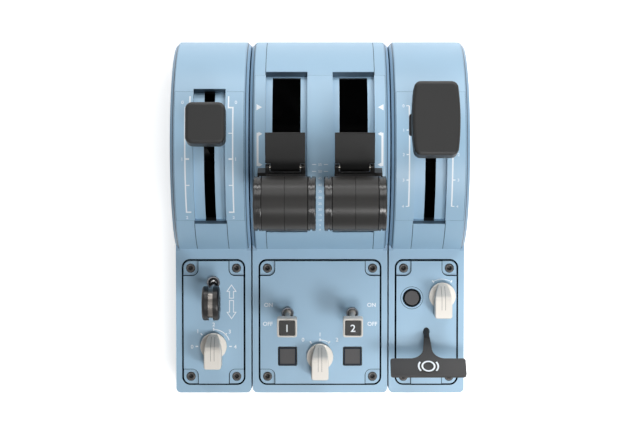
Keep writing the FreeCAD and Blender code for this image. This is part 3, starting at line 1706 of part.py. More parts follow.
def make_button(label, centre_x, distance, shape):
    body = new_body(label)
    on_deck(body, centre_x, -distance)
    plan = new_sketch(body, label + "_plan", "XY", button_bottom)
    if shape == "square":
        rounded_rectangle(plan, 0, 0, s.button_width, s.button_width, s.button_corner)
    else:
        circle(plan, 0, 0, s.reset_radius)
    pad(body, label + "_cap", plan, s.button_height)
    top = button_bottom + s.button_height
    dress(body, "Fillet", label + "_rounds", s.button_round, lambda e: at_height(e, top))


make_button("square_button_1", -s.button_offset, s.button_place, "square")
make_button("square_button_2", s.button_offset, s.button_place, "square")
make_button("reset_button", side_x - s.reset_offset, s.reset_place, "round")

handle = new_body("park_brake_handle")
on_deck(handle, side_x, -s.brake_place, 0, s.brake_lean)
bar_low = s.brake_reach - s.brake_bar_width / 2
bar_high = s.brake_reach + s.brake_bar_width / 2
half_bar, half_stem = s.brake_bar_length / 2, s.brake_stem_width / 2
half_neck = s.brake_neck_width / 2
flare, r = s.brake_flare, s.brake_bar_corner
handle_outline = outline(
    new_sketch(handle, "handle_outline", "XZ"),
    [
        (half_stem, s.brake_stem_start),
        (half_neck, bar_low - flare),
        (half_neck + flare, bar_low, half_neck + flare, bar_low - flare, -1),
        (half_bar - r, bar_low),
        (half_bar, bar_low + r, half_bar - r, bar_low + r, 1),
        (half_bar, bar_high - r),
        (half_bar - r, bar_high, half_bar - r, bar_high - r, 1),
        (-(half_bar - r), bar_high),
        (-half_bar, bar_high - r, -(half_bar - r), bar_high - r, 1),
        (-half_bar, bar_low + r),
        (-(half_bar - r), bar_low, -(half_bar - r), bar_low + r, 1),
        (-(half_neck + flare), bar_low),
        (-half_neck, bar_low - flare, -(half_neck + flare), bar_low - flare, -1),
        (-half_stem, s.brake_stem_start),
    ],
)
pad(handle, "handle_bar", handle_outline, s.brake_bar_thickness, both_sides=True)
stem = circle(
    new_sketch(handle, "stem_section", "XY", s.brake_stem_start + 1), 0, 0, s.brake_stem_radius
)
pad(handle, "handle_stem", stem, s.brake_stem_depth + s.brake_stem_start, down=True)


# -------------------------------------------------------------------------------------- write out
doc.recompute()
failed = [item.Label for item in doc.Objects if "Invalid" in item.State or "Error" in item.State]
if failed:
    raise RuntimeError("these objects failed: " + ", ".join(failed))
for subpart in subparts:
    if subpart.Shape.isNull() or not subpart.Shape.isValid():
        raise RuntimeError("no valid shape: " + subpart.Label)
os.makedirs("parts", exist_ok=True)
for subpart in subparts:
    subpart.Shape.exportStep(os.path.join("parts", subpart.Label + ".step"))
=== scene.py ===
import json
import math

import bmesh
import bpy
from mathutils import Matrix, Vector


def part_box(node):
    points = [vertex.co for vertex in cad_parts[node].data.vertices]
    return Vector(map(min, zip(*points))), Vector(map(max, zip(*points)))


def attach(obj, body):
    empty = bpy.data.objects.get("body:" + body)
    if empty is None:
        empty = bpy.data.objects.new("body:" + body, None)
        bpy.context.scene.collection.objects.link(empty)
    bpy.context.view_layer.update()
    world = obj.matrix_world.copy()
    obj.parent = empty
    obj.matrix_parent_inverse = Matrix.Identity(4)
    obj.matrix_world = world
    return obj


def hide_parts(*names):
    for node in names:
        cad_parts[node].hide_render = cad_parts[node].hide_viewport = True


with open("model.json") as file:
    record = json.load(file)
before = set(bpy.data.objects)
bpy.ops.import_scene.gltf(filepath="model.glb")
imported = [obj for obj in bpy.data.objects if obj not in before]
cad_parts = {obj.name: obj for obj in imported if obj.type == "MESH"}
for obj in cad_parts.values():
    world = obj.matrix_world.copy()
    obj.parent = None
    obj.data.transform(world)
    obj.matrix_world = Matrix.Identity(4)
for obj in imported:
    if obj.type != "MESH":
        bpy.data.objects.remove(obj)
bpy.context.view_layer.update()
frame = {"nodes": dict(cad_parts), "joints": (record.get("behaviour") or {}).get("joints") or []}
nodes = frame["nodes"]
joints = {joint["name"]: joint for joint in frame["joints"]}
MM = 0.001

# ---------------------------------------------------------------- table, camera and lamps
# The quadrant stands on a plain white table, seen from above. A low strip and two soft boxes
# behind it light the drums. A small soft box close to its front right corner and one above its
# front light the deck.
bpy.context.scene.view_settings.view_transform = "Standard"

CAMERA_HEIGHT = 1.178
CAMERA_AHEAD = -1.95 * MM
camera_data = bpy.data.cameras.new("camera")
camera_data.lens = 98.72
camera_data.sensor_width = 36
camera_data.clip_start = 0.05
camera_data.clip_end = 20
camera = bpy.data.objects.new("camera", camera_data)
camera.location = (0, CAMERA_AHEAD, CAMERA_HEIGHT)
bpy.context.collection.objects.link(camera)
bpy.context.scene.camera = camera


def seen_directly(tree):
    """A 0 to 1 value that is 1 for camera, mirror and glass rays."""
    path = tree.nodes.new("ShaderNodeLightPath")
    total = tree.nodes.new("ShaderNodeMath")
    total.operation = "MAXIMUM"
    every = tree.nodes.new("ShaderNodeMath")
    every.operation = "MAXIMUM"
    tree.links.new(path.outputs["Is Camera Ray"], total.inputs[0])
    tree.links.new(path.outputs["Is Glossy Ray"], total.inputs[1])
    tree.links.new(total.outputs[0], every.inputs[0])
    tree.links.new(path.outputs["Is Transmission Ray"], every.inputs[1])
    return every.outputs[0]


world = bpy.data.worlds.new("studio")
world.use_nodes = True
bpy.context.scene.world = world
sky = world.node_tree.nodes["Background"]
sky_level = world.node_tree.nodes.new("ShaderNodeMapRange")
sky_level.inputs["To Min"].default_value = 0.03
sky_level.inputs["To Max"].default_value = 1.0
world.node_tree.links.new(seen_directly(world.node_tree), sky_level.inputs["Value"])
world.node_tree.links.new(sky_level.outputs["Result"], sky.inputs["Strength"])
sky.inputs["Color"].default_value = (1, 1, 1, 1)

table_white = bpy.data.materials.new("table_white")
table_white.use_nodes = True
table_tree = table_white.node_tree
table_tree.nodes.clear()
table_paint = table_tree.nodes.new("ShaderNodeBsdfDiffuse")
table_paint.inputs["Color"].default_value = (0.86, 0.86, 0.86, 1)
table_glow = table_tree.nodes.new("ShaderNodeEmission")
table_level = table_tree.nodes.new("ShaderNodeMath")
table_level.operation = "MULTIPLY"
table_level.inputs[1].default_value = 0.62
table_sum = table_tree.nodes.new("ShaderNodeAddShader")
table_out = table_tree.nodes.new("ShaderNodeOutputMaterial")
table_tree.links.new(seen_directly(table_tree), table_level.inputs[0])
table_tree.links.new(table_level.outputs[0], table_glow.inputs["Strength"])
table_tree.links.new(table_paint.outputs[0], table_sum.inputs[0])
table_tree.links.new(table_glow.outputs[0], table_sum.inputs[1])
table_tree.links.new(table_sum.outputs[0], table_out.inputs["Surface"])

TABLE_REACH = 4.0
TABLE_TOP = -0.3 * MM
table_mesh = bpy.data.meshes.new("table")
table_corners = [
    (x * TABLE_REACH, y * TABLE_REACH, TABLE_TOP) for x, y in ((-1, -1), (1, -1), (1, 1), (-1, 1))
]
table_mesh.from_pydata(table_corners, [], [(0, 1, 2, 3)])
table_mesh.materials.append(table_white)
table = bpy.data.objects.new("table", table_mesh)
bpy.context.collection.objects.link(table)


def soft_box(name, place, aim, width, height, level):
    """A lamp with a flat face whose light gives a white card that faces it this level."""
    reach = (Vector(place) - Vector(aim)).length
    lamp = bpy.data.lights.new(name, "AREA")
    lamp.shape = "RECTANGLE"
    lamp.size = width
    lamp.size_y = height
    lamp.energy = level * (math.pi * reach) ** 2
    holder = bpy.data.objects.new(name, lamp)
    holder.location = place
    holder.rotation_euler = (Vector(aim) - Vector(place)).to_track_quat("-Z", "Y").to_euler()
    bpy.context.collection.objects.link(holder)


soft_box("rear_strip", (0, 1.5, 0.55), (0, 0, 0.08), 1.6, 0.22, 0.5)
soft_box("rear_soft_box", (0.1, 1.2, 1.2), (0, 0, 0.08), 0.6, 0.6, 0.19)
soft_box("rear_right_box", (0.7, 1.1, 0.9), (0, 0, 0.08), 0.5, 0.5, 0.35)
soft_box("top_soft_box", (0, 0, 1.9), (0, 0, 0.05), 0.8, 0.8, 0.06)
soft_box("front_right_key", (0.28, -0.33, 0.42), (0.05, -0.1, 0.04), 0.15, 0.15, 0.56)
soft_box("front_soft_box", (0.12, -0.45, 0.9), (0.03, -0.1, 0.05), 0.2, 0.2, 0.36)

# ---------------------------------------------------------------- housings
# Three shells of light blue ABS, injection moulded in a tool with a fine eroded texture. Inside
# they are painted black as shade, so that no blue shows down the lever slots.


def shade(red, green, blue):
    """A colour chip read in display values, as the shaders take it."""
    chip = []
    for value in (red, green, blue):
        level = value / 255
        chip.append(level / 12.92 if level < 0.04045 else ((level + 0.055) / 1.055) ** 2.4)
    return (*chip, 1)


def shader_group(name, inputs, outputs):
    """An empty shader group with its named sockets, and its two end nodes."""
    group = bpy.data.node_groups.new(name, "ShaderNodeTree")
    for label, kind, value in inputs:
        socket = group.interface.new_socket(label, in_out="INPUT", socket_type=kind)
        socket.default_value = value
    for label, kind in outputs:
        group.interface.new_socket(label, in_out="OUTPUT", socket_type=kind)
    start = group.nodes.new("NodeGroupInput")
    end = group.nodes.new("NodeGroupOutput")
    return group, start, end


def calculate(tree, operation, first, second=None):
    """A Math node on two sockets or numbers."""
    node = tree.nodes.new("ShaderNodeMath")
    node.operation = operation
    for socket, value in enumerate((first, second)):
        if value is None:
            continue
        if isinstance(value, (int, float)):
            node.inputs[socket].default_value = value
        else:
            tree.links.new(value, node.inputs[socket])
    return node.outputs[0]


# Eroded tool texture: fine pits, and slow blotches where the melt cooled unevenly.
eroded_texture, start, end = shader_group(
    "eroded_texture",
    [("Grain Size", "NodeSocketFloat", 0.0004), ("Blotch Size", "NodeSocketFloat", 0.03)],
    [("Height", "NodeSocketFloat"), ("Blotch", "NodeSocketFloat")],
)
place_on_part = eroded_texture.nodes.new("ShaderNodeTexCoord")
pits = eroded_texture.nodes.new("ShaderNodeTexNoise")
pits.inputs["Detail"].default_value = 2
pits.inputs["Roughness"].default_value = 0.6
blotch = eroded_texture.nodes.new("ShaderNodeTexNoise")
blotch.inputs["Detail"].default_value = 3
for texture, size in ((pits, "Grain Size"), (blotch, "Blotch Size")):
    scale = calculate(eroded_texture, "DIVIDE", 1.0, start.outputs[size])
    eroded_texture.links.new(place_on_part.outputs["Object"], texture.inputs["Vector"])
    eroded_texture.links.new(scale, texture.inputs["Scale"])
eroded_texture.links.new(pits.outputs["Fac"], end.inputs["Height"])
eroded_texture.links.new(blotch.outputs["Fac"], end.inputs["Blotch"])

# Rubbed edges: where hands and cloths pass, a corner polishes and pales a little, in patches. The
# paler edge is also a painted highlight, where a rounded edge would catch the light.
EDGE_GAIN = 6.0
PATCH_FLOOR = 0.35
rubbed_and_lit_edges, start, end = shader_group(
    "rubbed_and_lit_edges",
    [("Radius", "NodeSocketFloat", 0.0005), ("Amount", "NodeSocketFloat", 0.3)],
    [("Mask", "NodeSocketFloat")],
)
rounded = rubbed_and_lit_edges.nodes.new("ShaderNodeBevel")
rounded.samples = 4
flat = rubbed_and_lit_edges.nodes.new("ShaderNodeNewGeometry")
facing = rubbed_and_lit_edges.nodes.new("ShaderNodeVectorMath")
facing.operation = "DOT_PRODUCT"
patches = rubbed_and_lit_edges.nodes.new("ShaderNodeTexNoise")
patches.inputs["Scale"].default_value = 160
patch_place = rubbed_and_lit_edges.nodes.new("ShaderNodeTexCoord")
rubbed_and_lit_edges.links.new(patch_place.outputs["Object"], patches.inputs["Vector"])
rubbed_and_lit_edges.links.new(start.outputs["Radius"], rounded.inputs["Radius"])
rubbed_and_lit_edges.links.new(rounded.outputs["Normal"], facing.inputs[0])
rubbed_and_lit_edges.links.new(flat.outputs["Normal"], facing.inputs[1])
turned = calculate(rubbed_and_lit_edges, "SUBTRACT", 1.0, facing.outputs["Value"])
turned = calculate(rubbed_and_lit_edges, "MULTIPLY", turned, EDGE_GAIN)
turned = calculate(rubbed_and_lit_edges, "MINIMUM", turned, 1.0)
uneven = calculate(rubbed_and_lit_edges, "ADD", patches.outputs["Fac"], PATCH_FLOOR)
turned = calculate(rubbed_and_lit_edges, "MULTIPLY", turned, uneven)
turned = calculate(rubbed_and_lit_edges, "MULTIPLY", turned, start.outputs["Amount"])
rubbed_and_lit_edges.links.new(turned, end.inputs["Mask"])

# Shaded crevices: 1 down in a narrow gap or groove, where a finish paints shade because little
# light reaches there. It starts where less than half of the sky is open.
OPEN_SHARE = 0.5
CREVICE_GAIN = 4.0
shaded_crevice, start, end = shader_group(
    "shaded_crevice",
    [("Reach", "NodeSocketFloat", 0.0012)],
    [("Mask", "NodeSocketFloat")],
)
open_sky = shaded_crevice.nodes.new("ShaderNodeAmbientOcclusion")
open_sky.samples = 6
shaded_crevice.links.new(start.outputs["Reach"], open_sky.inputs["Distance"])
closed_in = calculate(shaded_crevice, "SUBTRACT", OPEN_SHARE, open_sky.outputs["AO"])
closed_in = calculate(shaded_crevice, "MULTIPLY", closed_in, CREVICE_GAIN)
closed_in = calculate(shaded_crevice, "MAXIMUM", closed_in, 0.0)
closed_in = calculate(shaded_crevice, "MINIMUM", closed_in, 1.0)
shaded_crevice.links.new(closed_in, end.inputs["Mask"])

# Inside a cylinder: 1 nearer to its axis than the given radius and between its two ends.
in_cylinder, start, end = shader_group(
    "in_cylinder",
    [
        ("Axis", "NodeSocketVector", (0, 0, 0)),
        ("Radius", "NodeSocketFloat", 0.06),
        ("Half Width", "NodeSocketFloat", 0.02),
    ],
    [("Mask", "NodeSocketFloat")],
)
where = in_cylinder.nodes.new("ShaderNodeTexCoord")
from_axis = in_cylinder.nodes.new("ShaderNodeVectorMath")
from_axis.operation = "SUBTRACT"
parts = in_cylinder.nodes.new("ShaderNodeSeparateXYZ")
in_cylinder.links.new(where.outputs["Object"], from_axis.inputs[0])
in_cylinder.links.new(start.outputs["Axis"], from_axis.inputs[1])
in_cylinder.links.new(from_axis.outputs["Vector"], parts.inputs[0])
across = calculate(in_cylinder, "ABSOLUTE", parts.outputs["X"])
square_y = calculate(in_cylinder, "MULTIPLY", parts.outputs["Y"], parts.outputs["Y"])
square_z = calculate(in_cylinder, "MULTIPLY", parts.outputs["Z"], parts.outputs["Z"])
distance = calculate(in_cylinder, "SQRT", calculate(in_cylinder, "ADD", square_y, square_z))
near = calculate(in_cylinder, "LESS_THAN", distance, start.outputs["Radius"])
between = calculate(in_cylinder, "LESS_THAN", across, start.outputs["Half Width"])
in_cylinder.links.new(calculate(in_cylinder, "MULTIPLY", near, between), end.inputs["Mask"])


# Plate outline: 1 beside the edge of a rounded plate and of its sunk corner pads, where a line of
# painted shade stands for the shadow of the gap and the step. The plate lies across X and along
# the given direction.
plate_outline, start, end = shader_group(
    "plate_outline",
    [
        ("Middle", "NodeSocketVector", (0, 0, 0)),
        ("Along", "NodeSocketVector", (0, 1, 0)),
        ("Half Width", "NodeSocketFloat", 0.02),
        ("Half Length", "NodeSocketFloat", 0.04),
        ("Corner", "NodeSocketFloat", 0.005),
        ("Pad", "NodeSocketFloat", 0.01),
        ("Pad Corner", "NodeSocketFloat", 0.004),
        ("Inner", "NodeSocketFloat", 0.0003),
        ("Outer", "NodeSocketFloat", 0.0),
        ("Pad Line", "NodeSocketFloat", 0.0),
    ],
    [("Mask", "NodeSocketFloat")],
)


def rounded_box(tree, across, along, half_width, half_length, corner):
    """How far a place lies outside a rounded rectangle; less than 0 inside it."""
    straight = calculate(tree, "SUBTRACT", half_width, corner)
    beyond_x = calculate(tree, "SUBTRACT", across, straight)
    straight = calculate(tree, "SUBTRACT", half_length, corner)
    beyond_y = calculate(tree, "SUBTRACT", along, straight)
    out_x = calculate(tree, "MAXIMUM", beyond_x, 0.0)
    out_y = calculate(tree, "MAXIMUM", beyond_y, 0.0)
    square_x = calculate(tree, "MULTIPLY", out_x, out_x)
    square_y = calculate(tree, "MULTIPLY", out_y, out_y)
    outside = calculate(tree, "SQRT", calculate(tree, "ADD", square_x, square_y))
    deeper = calculate(tree, "MAXIMUM", beyond_x, beyond_y)
    inside = calculate(tree, "MINIMUM", deeper, 0.0)
    return calculate(tree, "SUBTRACT", calculate(tree, "ADD", outside, inside), corner)


where = plate_outline.nodes.new("ShaderNodeTexCoord")
from_middle = plate_outline.nodes.new("ShaderNodeVectorMath")
from_middle.operation = "SUBTRACT"
lengthwise = plate_outline.nodes.new("ShaderNodeVectorMath")
lengthwise.operation = "DOT_PRODUCT"
parts = plate_outline.nodes.new("ShaderNodeSeparateXYZ")
plate_outline.links.new(where.outputs["Object"], from_middle.inputs[0])
plate_outline.links.new(start.outputs["Middle"], from_middle.inputs[1])
plate_outline.links.new(from_middle.outputs["Vector"], lengthwise.inputs[0])
plate_outline.links.new(start.outputs["Along"], lengthwise.inputs[1])
plate_outline.links.new(from_middle.outputs["Vector"], parts.inputs[0])
across = calculate(plate_outline, "ABSOLUTE", parts.outputs["X"])
along = calculate(plate_outline, "ABSOLUTE", lengthwise.outputs["Value"])
edge = rounded_box(
    plate_outline, across, along, start.outputs["Half Width"], start.outputs["Half Length"],
    start.outputs["Corner"],
)
past_inner = calculate(
    plate_outline, "GREATER_THAN", calculate(plate_outline, "ADD", edge, start.outputs["Inner"]),
    0.0,
)
before_outer = calculate(plate_outline, "LESS_THAN", edge, start.outputs["Outer"])
edge_line = calculate(plate_outline, "MULTIPLY", past_inner, before_outer)
pad_across = calculate(plate_outline, "SUBTRACT", across, start.outputs["Half Width"])
pad_along = calculate(plate_outline, "SUBTRACT", along, start.outputs["Half Length"])
pad_edge = rounded_box(
    plate_outline,
    calculate(plate_outline, "ABSOLUTE", pad_across),
    calculate(plate_outline, "ABSOLUTE", pad_along),
    start.outputs["Pad"], start.outputs["Pad"], start.outputs["Pad Corner"],
)
pad_edge = calculate(plate_outline, "ABSOLUTE", pad_edge)
pad_line = calculate(plate_outline, "LESS_THAN", pad_edge, start.outputs["Pad Line"])
on_plate = calculate(plate_outline, "LESS_THAN", edge, 0.0)
pad_line = calculate(plate_outline, "MULTIPLY", pad_line, on_plate)
plate_outline.links.new(
    calculate(plate_outline, "MAXIMUM", edge_line, pad_line), end.inputs["Mask"]
)


def add_group(tree, group, **values):
    """One of the shared effects, placed in a material with its own values."""
    node = tree.nodes.new("ShaderNodeGroup")
    node.node_tree = group
    for label, value in values.items():
        node.inputs[label.replace("_", " ").title()].default_value = value
    return node


def blend_colours(tree, factor, first, second):
    """A colour mix; each side is a chip or the output of another node."""
    colour_a, colour_b, colour_out = 6, 7, 2
    node = tree.nodes.new("ShaderNodeMix")
    node.data_type = "RGBA"
    tree.links.new(factor, node.inputs["Factor"])
    for socket, value in ((colour_a, first), (colour_b, second)):
        if isinstance(value, tuple):
            node.inputs[socket].default_value = value
        else:
            tree.links.new(value, node.inputs[socket])
    return node.outputs[colour_out]


def tinted(chip, amount):
    """A chip made lighter or darker by a share of itself."""
    return (*(min(1.0, value * (1 + amount)) for value in chip[:3]), 1)


def moulded(
    name, chip, roughness, grain=0.0004, pit_depth=0.00001, wear_and_sheen=0.25, worn_and_lit=None, uneven=0.03,
    specular=0.5, metallic=0.0, crevice=None, reach=0.0012, seams=None, outline=None, zones=(),
):
    """A moulded, cast or painted finish: tool texture, slow tone changes, edge wear and painted
    sheen.

    A crevice colour paints shade into gaps narrower than the reach, and a line of painted shade
    round the outline of a plate. Each zone paints a chip inside its cylinder, or the plain finish
    again where it has none.
    """
    material = bpy.data.materials.new(name)
    material.use_nodes = True
    tree = material.node_tree
    shader = tree.nodes["Principled BSDF"]
    shader.inputs["Specular IOR Level"].default_value = specular
    shader.inputs["Metallic"].default_value = metallic
    texture = add_group(tree, eroded_texture, grain_size=grain, blotch_size=0.02)
    tone = blend_colours(
        tree, texture.outputs["Blotch"], tinted(chip, -uneven), tinted(chip, uneven)
    )
    # Edges pale with wear and with a painted highlight.
    edges = add_group(tree, rubbed_and_lit_edges, radius=0.0006, amount=wear_and_sheen)
    tone = blend_colours(tree, edges.outputs["Mask"], tone, worn_and_lit or tinted(chip, 0.5))
    covered = None
    if crevice:
        gap = add_group(tree, shaded_crevice, reach=reach)
        covered = gap.outputs["Mask"]
        crevice_shade = crevice
        if seams:
            on_drum_skin = add_group(tree, in_cylinder, **seams)
            crevice_shade = blend_colours(tree, on_drum_skin.outputs["Mask"], crevice, SEAM_SHADE_BLUE)
        tone = blend_colours(tree, gap.outputs["Mask"], tone, crevice_shade)
    if outline:
        line = add_group(tree, plate_outline, **outline)
        covered = calculate(tree, "MAXIMUM", covered, line.outputs["Mask"])
        tone = blend_colours(tree, line.outputs["Mask"], tone, crevice)
    plain = tone
    for zone, paint in zones:
        place = add_group(tree, in_cylinder, **zone)
        tone = blend_colours(tree, place.outputs["Mask"], tone, paint or plain)
    tree.links.new(tone, shader.inputs["Base Color"])
    gloss = tree.nodes.new("ShaderNodeMapRange")
    gloss.inputs["To Min"].default_value = roughness - 0.05
    gloss.inputs["To Max"].default_value = roughness + 0.05
    tree.links.new(texture.outputs["Blotch"], gloss.inputs["Value"])
    dullness = gloss.outputs["Result"]
    if covered:
        # A dark gap sends no light back, so where shade is painted the shader's plain white gloss
        # is left out.
        dullness = calculate(tree, "MAXIMUM", dullness, covered)
        tree.links.new(covered, shader.inputs["Metallic"])
    tree.links.new(dullness, shader.inputs["Roughness"])
    bump = tree.nodes.new("ShaderNodeBump")
    bump.inputs["Strength"].default_value = 0.5
    bump.inputs["Distance"].default_value = pit_depth
    tree.links.new(texture.outputs["Height"], bump.inputs["Height"])
    tree.links.new(bump.outputs["Normal"], shader.inputs["Normal"])
    return material


def finish_node(node, material):
    """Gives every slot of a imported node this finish."""
    for slot in nodes[node].material_slots:
        slot.material = material


def halfway(values):
    """The middle of a range of values."""
    return (min(values) + max(values)) / 2


def reach_along(node, way):
    """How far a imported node's corners reach along a direction."""
    return max(Vector(vertex.co).dot(way) for vertex in nodes[node].data.vertices)


SHELL_BLUE = shade(150, 183, 207)
# Edge colour of the blue shells, for wear and painted highlight.
WORN_AND_LIT_BLUE = shade(182, 208, 226)
# Painted shade in gaps, grooves, plate outlines and round the push buttons.
GAP_SHADE_NAVY = shade(18, 30, 42)
# Lighter painted shade in the shallow seams of the drum skin, plates and guides.
SEAM_SHADE_BLUE = shade(112, 142, 168)
# Painted shade: the rims face sideways and are painted darker than the skin.
RIM_SHADE_BLUE = shade(134, 166, 192)
# Painted shadow on the end walls of the slots.
END_SHADOW_NAVY = shade(74, 94, 110)
# Painted shade inside the drums and under the slot guides.
INSIDE_SHADE_BLACK = shade(5, 5, 6)
MODULES = ("left", "centre", "right")
drum_axis = Vector(joints["speedbrake"]["pos_m"])
drum_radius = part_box("left_housing")[1].z - drum_axis.z
WALL = 3 * MM
deck_up = Vector(joints["mode_turn"]["axis"])
deck_ahead = Vector((0, deck_up.z, -deck_up.y))
face_level = reach_along("centre_faceplate", deck_up)
FACE_GAP = 0.7 * MM
LINE_BAND = 0.22 * MM
PLATE_CORNER = 4.5 * MM
PAD = 9.6 * MM
PAD_CORNER = 4.0 * MM
SEAT_SHIFT = 0.2 * MM


def face_outline(module, on_housing):
    """Sizes of the painted shade line round a faceplate, for the plate itself or for its housing.
    """
    corners = [Vector(vertex.co) for vertex in nodes[f"{module}_faceplate"].data.vertices]
    across = [corner.x for corner in corners]
    ahead = [corner.dot(deck_ahead) for corner in corners]
    middle = Vector((halfway(across), 0, 0)) + deck_ahead * halfway(ahead)
    if on_housing:
        middle += deck_ahead * SEAT_SHIFT
    return {
        "middle": middle + deck_up * face_level,
        "along": deck_ahead,
        "half_width": (max(across) - min(across)) / 2,
        "half_length": (max(ahead) - min(ahead)) / 2,
        "corner": PLATE_CORNER,
        "pad": PAD,
        "pad_corner": PAD_CORNER,
        "inner": 0.0 if on_housing else LINE_BAND,
        "outer": FACE_GAP + LINE_BAND,
        "pad_line": 0.0 if on_housing else LINE_BAND,
    }


# The raised rims of a drum are painted a darker blue as shade, and the ends of the slots in its
# wall get a painted shadow, with painted black shade further in. Each zone below is one coaxial
# cylinder, painted over the one before it.
RIM_WIDTH = 2.9 * MM
RIM_DEPTH = 2.6 * MM
CLEAR = 1 * MM
module_middle = {}
for module in MODULES:
    low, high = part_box(f"{module}_housing")
    module_middle[module] = halfway((low.x, high.x))
    shell_half = (high.x - low.x) / 2
    drum = {"axis": (module_middle[module], drum_axis.y, drum_axis.z)}
    skin = {**drum, "radius": drum_radius + CLEAR, "half_width": shell_half - 0.3 * MM}
    rims = {**drum, "radius": drum_radius + CLEAR, "half_width": shell_half + CLEAR}
    between_rims = {**rims, "half_width": shell_half - RIM_WIDTH}
    side_faces = {**rims, "radius": drum_radius - RIM_DEPTH}
    wall = {**drum, "radius": drum_radius - 0.45 * MM, "half_width": shell_half - WALL / 2}
    shaded_inside = {**wall, "radius": drum_radius - WALL - 0.2 * MM}
    shell_plastic = moulded(
        f"{module}_shell_blue", SHELL_BLUE, 0.42, worn_and_lit=WORN_AND_LIT_BLUE, crevice=GAP_SHADE_NAVY,
        seams=skin,
        zones=[
            (rims, RIM_SHADE_BLUE), (between_rims, None), (side_faces, None),
            (wall, END_SHADOW_NAVY), (shaded_inside, INSIDE_SHADE_BLACK),
        ],
        outline=face_outline(module, True),
    )
    finish_node(f"{module}_housing", shell_plastic)

# ---------------------------------------------------------------- underside and inner parts
# Black painted bottom covers with black cross-head screws, rubber feet, joining plates and brass
# inserts; the covers' black also serves as painted shade seen down the lever slots. Inside: black
# steel lever frames on steel axles, green boards, switches and the port.
# Black finish, which also stands in for the shade seen down the lever slots.
cover_black = moulded(
    "cover_black", shade(22, 22, 24), 0.75, grain=0.0006, pit_depth=0.00002, specular=0.15,
    wear_and_sheen=0.1,
)
for module in MODULES:
    finish_node(f"{module}_bottom_cover", cover_black)
foot_rubber = moulded(
    "foot_rubber", shade(38, 38, 40), 0.8, grain=0.0009, pit_depth=0.00003, wear_and_sheen=0.1
)
finish_node("rubber_feet", foot_rubber)


def metal(name, chip, roughness, brushed_along=(1, 1, 1)):
    """Bare or plated metal, with fine drawing lines where one scale is much smaller."""
    material = bpy.data.materials.new(name)
    material.use_nodes = True
    tree = material.node_tree
    shader = tree.nodes["Principled BSDF"]
    shader.inputs["Metallic"].default_value = 1.0
    where = tree.nodes.new("ShaderNodeTexCoord")
    stretch = tree.nodes.new("ShaderNodeMapping")
    stretch.inputs["Scale"].default_value = brushed_along
    lines = tree.nodes.new("ShaderNodeTexNoise")
    lines.inputs["Scale"].default_value = 1500
    lines.inputs["Detail"].default_value = 3
    tree.links.new(where.outputs["Object"], stretch.inputs["Vector"])
    tree.links.new(stretch.outputs["Vector"], lines.inputs["Vector"])
    tone = blend_colours(tree, lines.outputs["Fac"], tinted(chip, -0.12), tinted(chip, 0.12))
    # Edges pale with wear and with a painted highlight.
    edges = add_group(tree, rubbed_and_lit_edges, radius=0.0003, amount=0.4)
    tone = blend_colours(tree, edges.outputs["Mask"], tone, tinted(chip, 0.6))
    tree.links.new(tone, shader.inputs["Base Color"])
    gloss = tree.nodes.new("ShaderNodeMapRange")
    gloss.inputs["To Min"].default_value = max(0.05, roughness - 0.1)
    gloss.inputs["To Max"].default_value = roughness + 0.1
    tree.links.new(lines.outputs["Fac"], gloss.inputs["Value"])
    tree.links.new(gloss.outputs["Result"], shader.inputs["Roughness"])
    return material


finish_node("joining_plates", cover_black)
finish_node("threaded_inserts", metal("insert_brass", shade(205, 170, 96), 0.32))
finish_node("lever_axles", metal("axle_steel", shade(150, 152, 156), 0.25, (0.02, 1, 1)))
frame_black = moulded("frame_black", shade(20, 20, 22), 0.6, specular=0.15, wear_and_sheen=0.1)
for module in MODULES:
    finish_node(f"{module}_lever_frame", frame_black)
finish_node("axle_washers", moulded("washer_nylon", shade(214, 211, 203), 0.5, wear_and_sheen=0.1))
inner_black = moulded("switch_black", shade(22, 22, 23), 0.5, wear_and_sheen=0.1)
finish_node("rotary_switches", inner_black)
finish_node("push_switches", inner_black)
finish_node("usb_port", metal("port_shell", shade(160, 162, 166), 0.28))

board_green = moulded("board_green", shade(18, 62, 40), 0.35, uneven=0.1, wear_and_sheen=0.0)
board_tree = board_green.node_tree
tracks = board_tree.nodes.new("ShaderNodeTexBrick")
tracks.inputs["Scale"].default_value = 180
tracks.inputs["Mortar Size"].default_value = 0.03
tracks.inputs["Color1"].default_value = shade(18, 62, 40)
tracks.inputs["Color2"].default_value = shade(24, 74, 48)
tracks.inputs["Mortar"].default_value = shade(60, 104, 66)
board_where = board_tree.nodes.new("ShaderNodeTexCoord")
board_tree.links.new(board_where.outputs["Object"], tracks.inputs["Vector"])
board_tree.links.new(
    tracks.outputs["Color"], board_tree.nodes["Principled BSDF"].inputs["Base Color"]
)
finish_node("circuit_boards", board_green)


def finish_piece(name, shape, material, body):
    """Turns a bmesh, built in metres in place, into a piece that rides on a body."""
    bmesh.ops.remove_doubles(shape, verts=shape.verts, dist=1e-7)
    bmesh.ops.recalc_face_normals(shape, faces=shape.faces)
    mesh = bpy.data.meshes.new(name)
    shape.to_mesh(mesh)
    shape.free()
    mesh.materials.append(material)
    piece = bpy.data.objects.new(name, mesh)
    bpy.context.collection.objects.link(piece)
    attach(piece, body)


SCREW_SIDES = 36


def ring_of_points(radius, height, flats=0):
    """A ring round Z: a circle, or with flats a regular polygon of that many sides."""
    ring = []
    for step in range(SCREW_SIDES):
        angle = 2 * math.pi * step / SCREW_SIDES
        reach = radius
        if flats:
            sector = 2 * math.pi / flats
            reach = radius / math.cos(angle % sector - sector / 2)
        ring.append((reach * math.cos(angle), reach * math.sin(angle), height))
    return ring


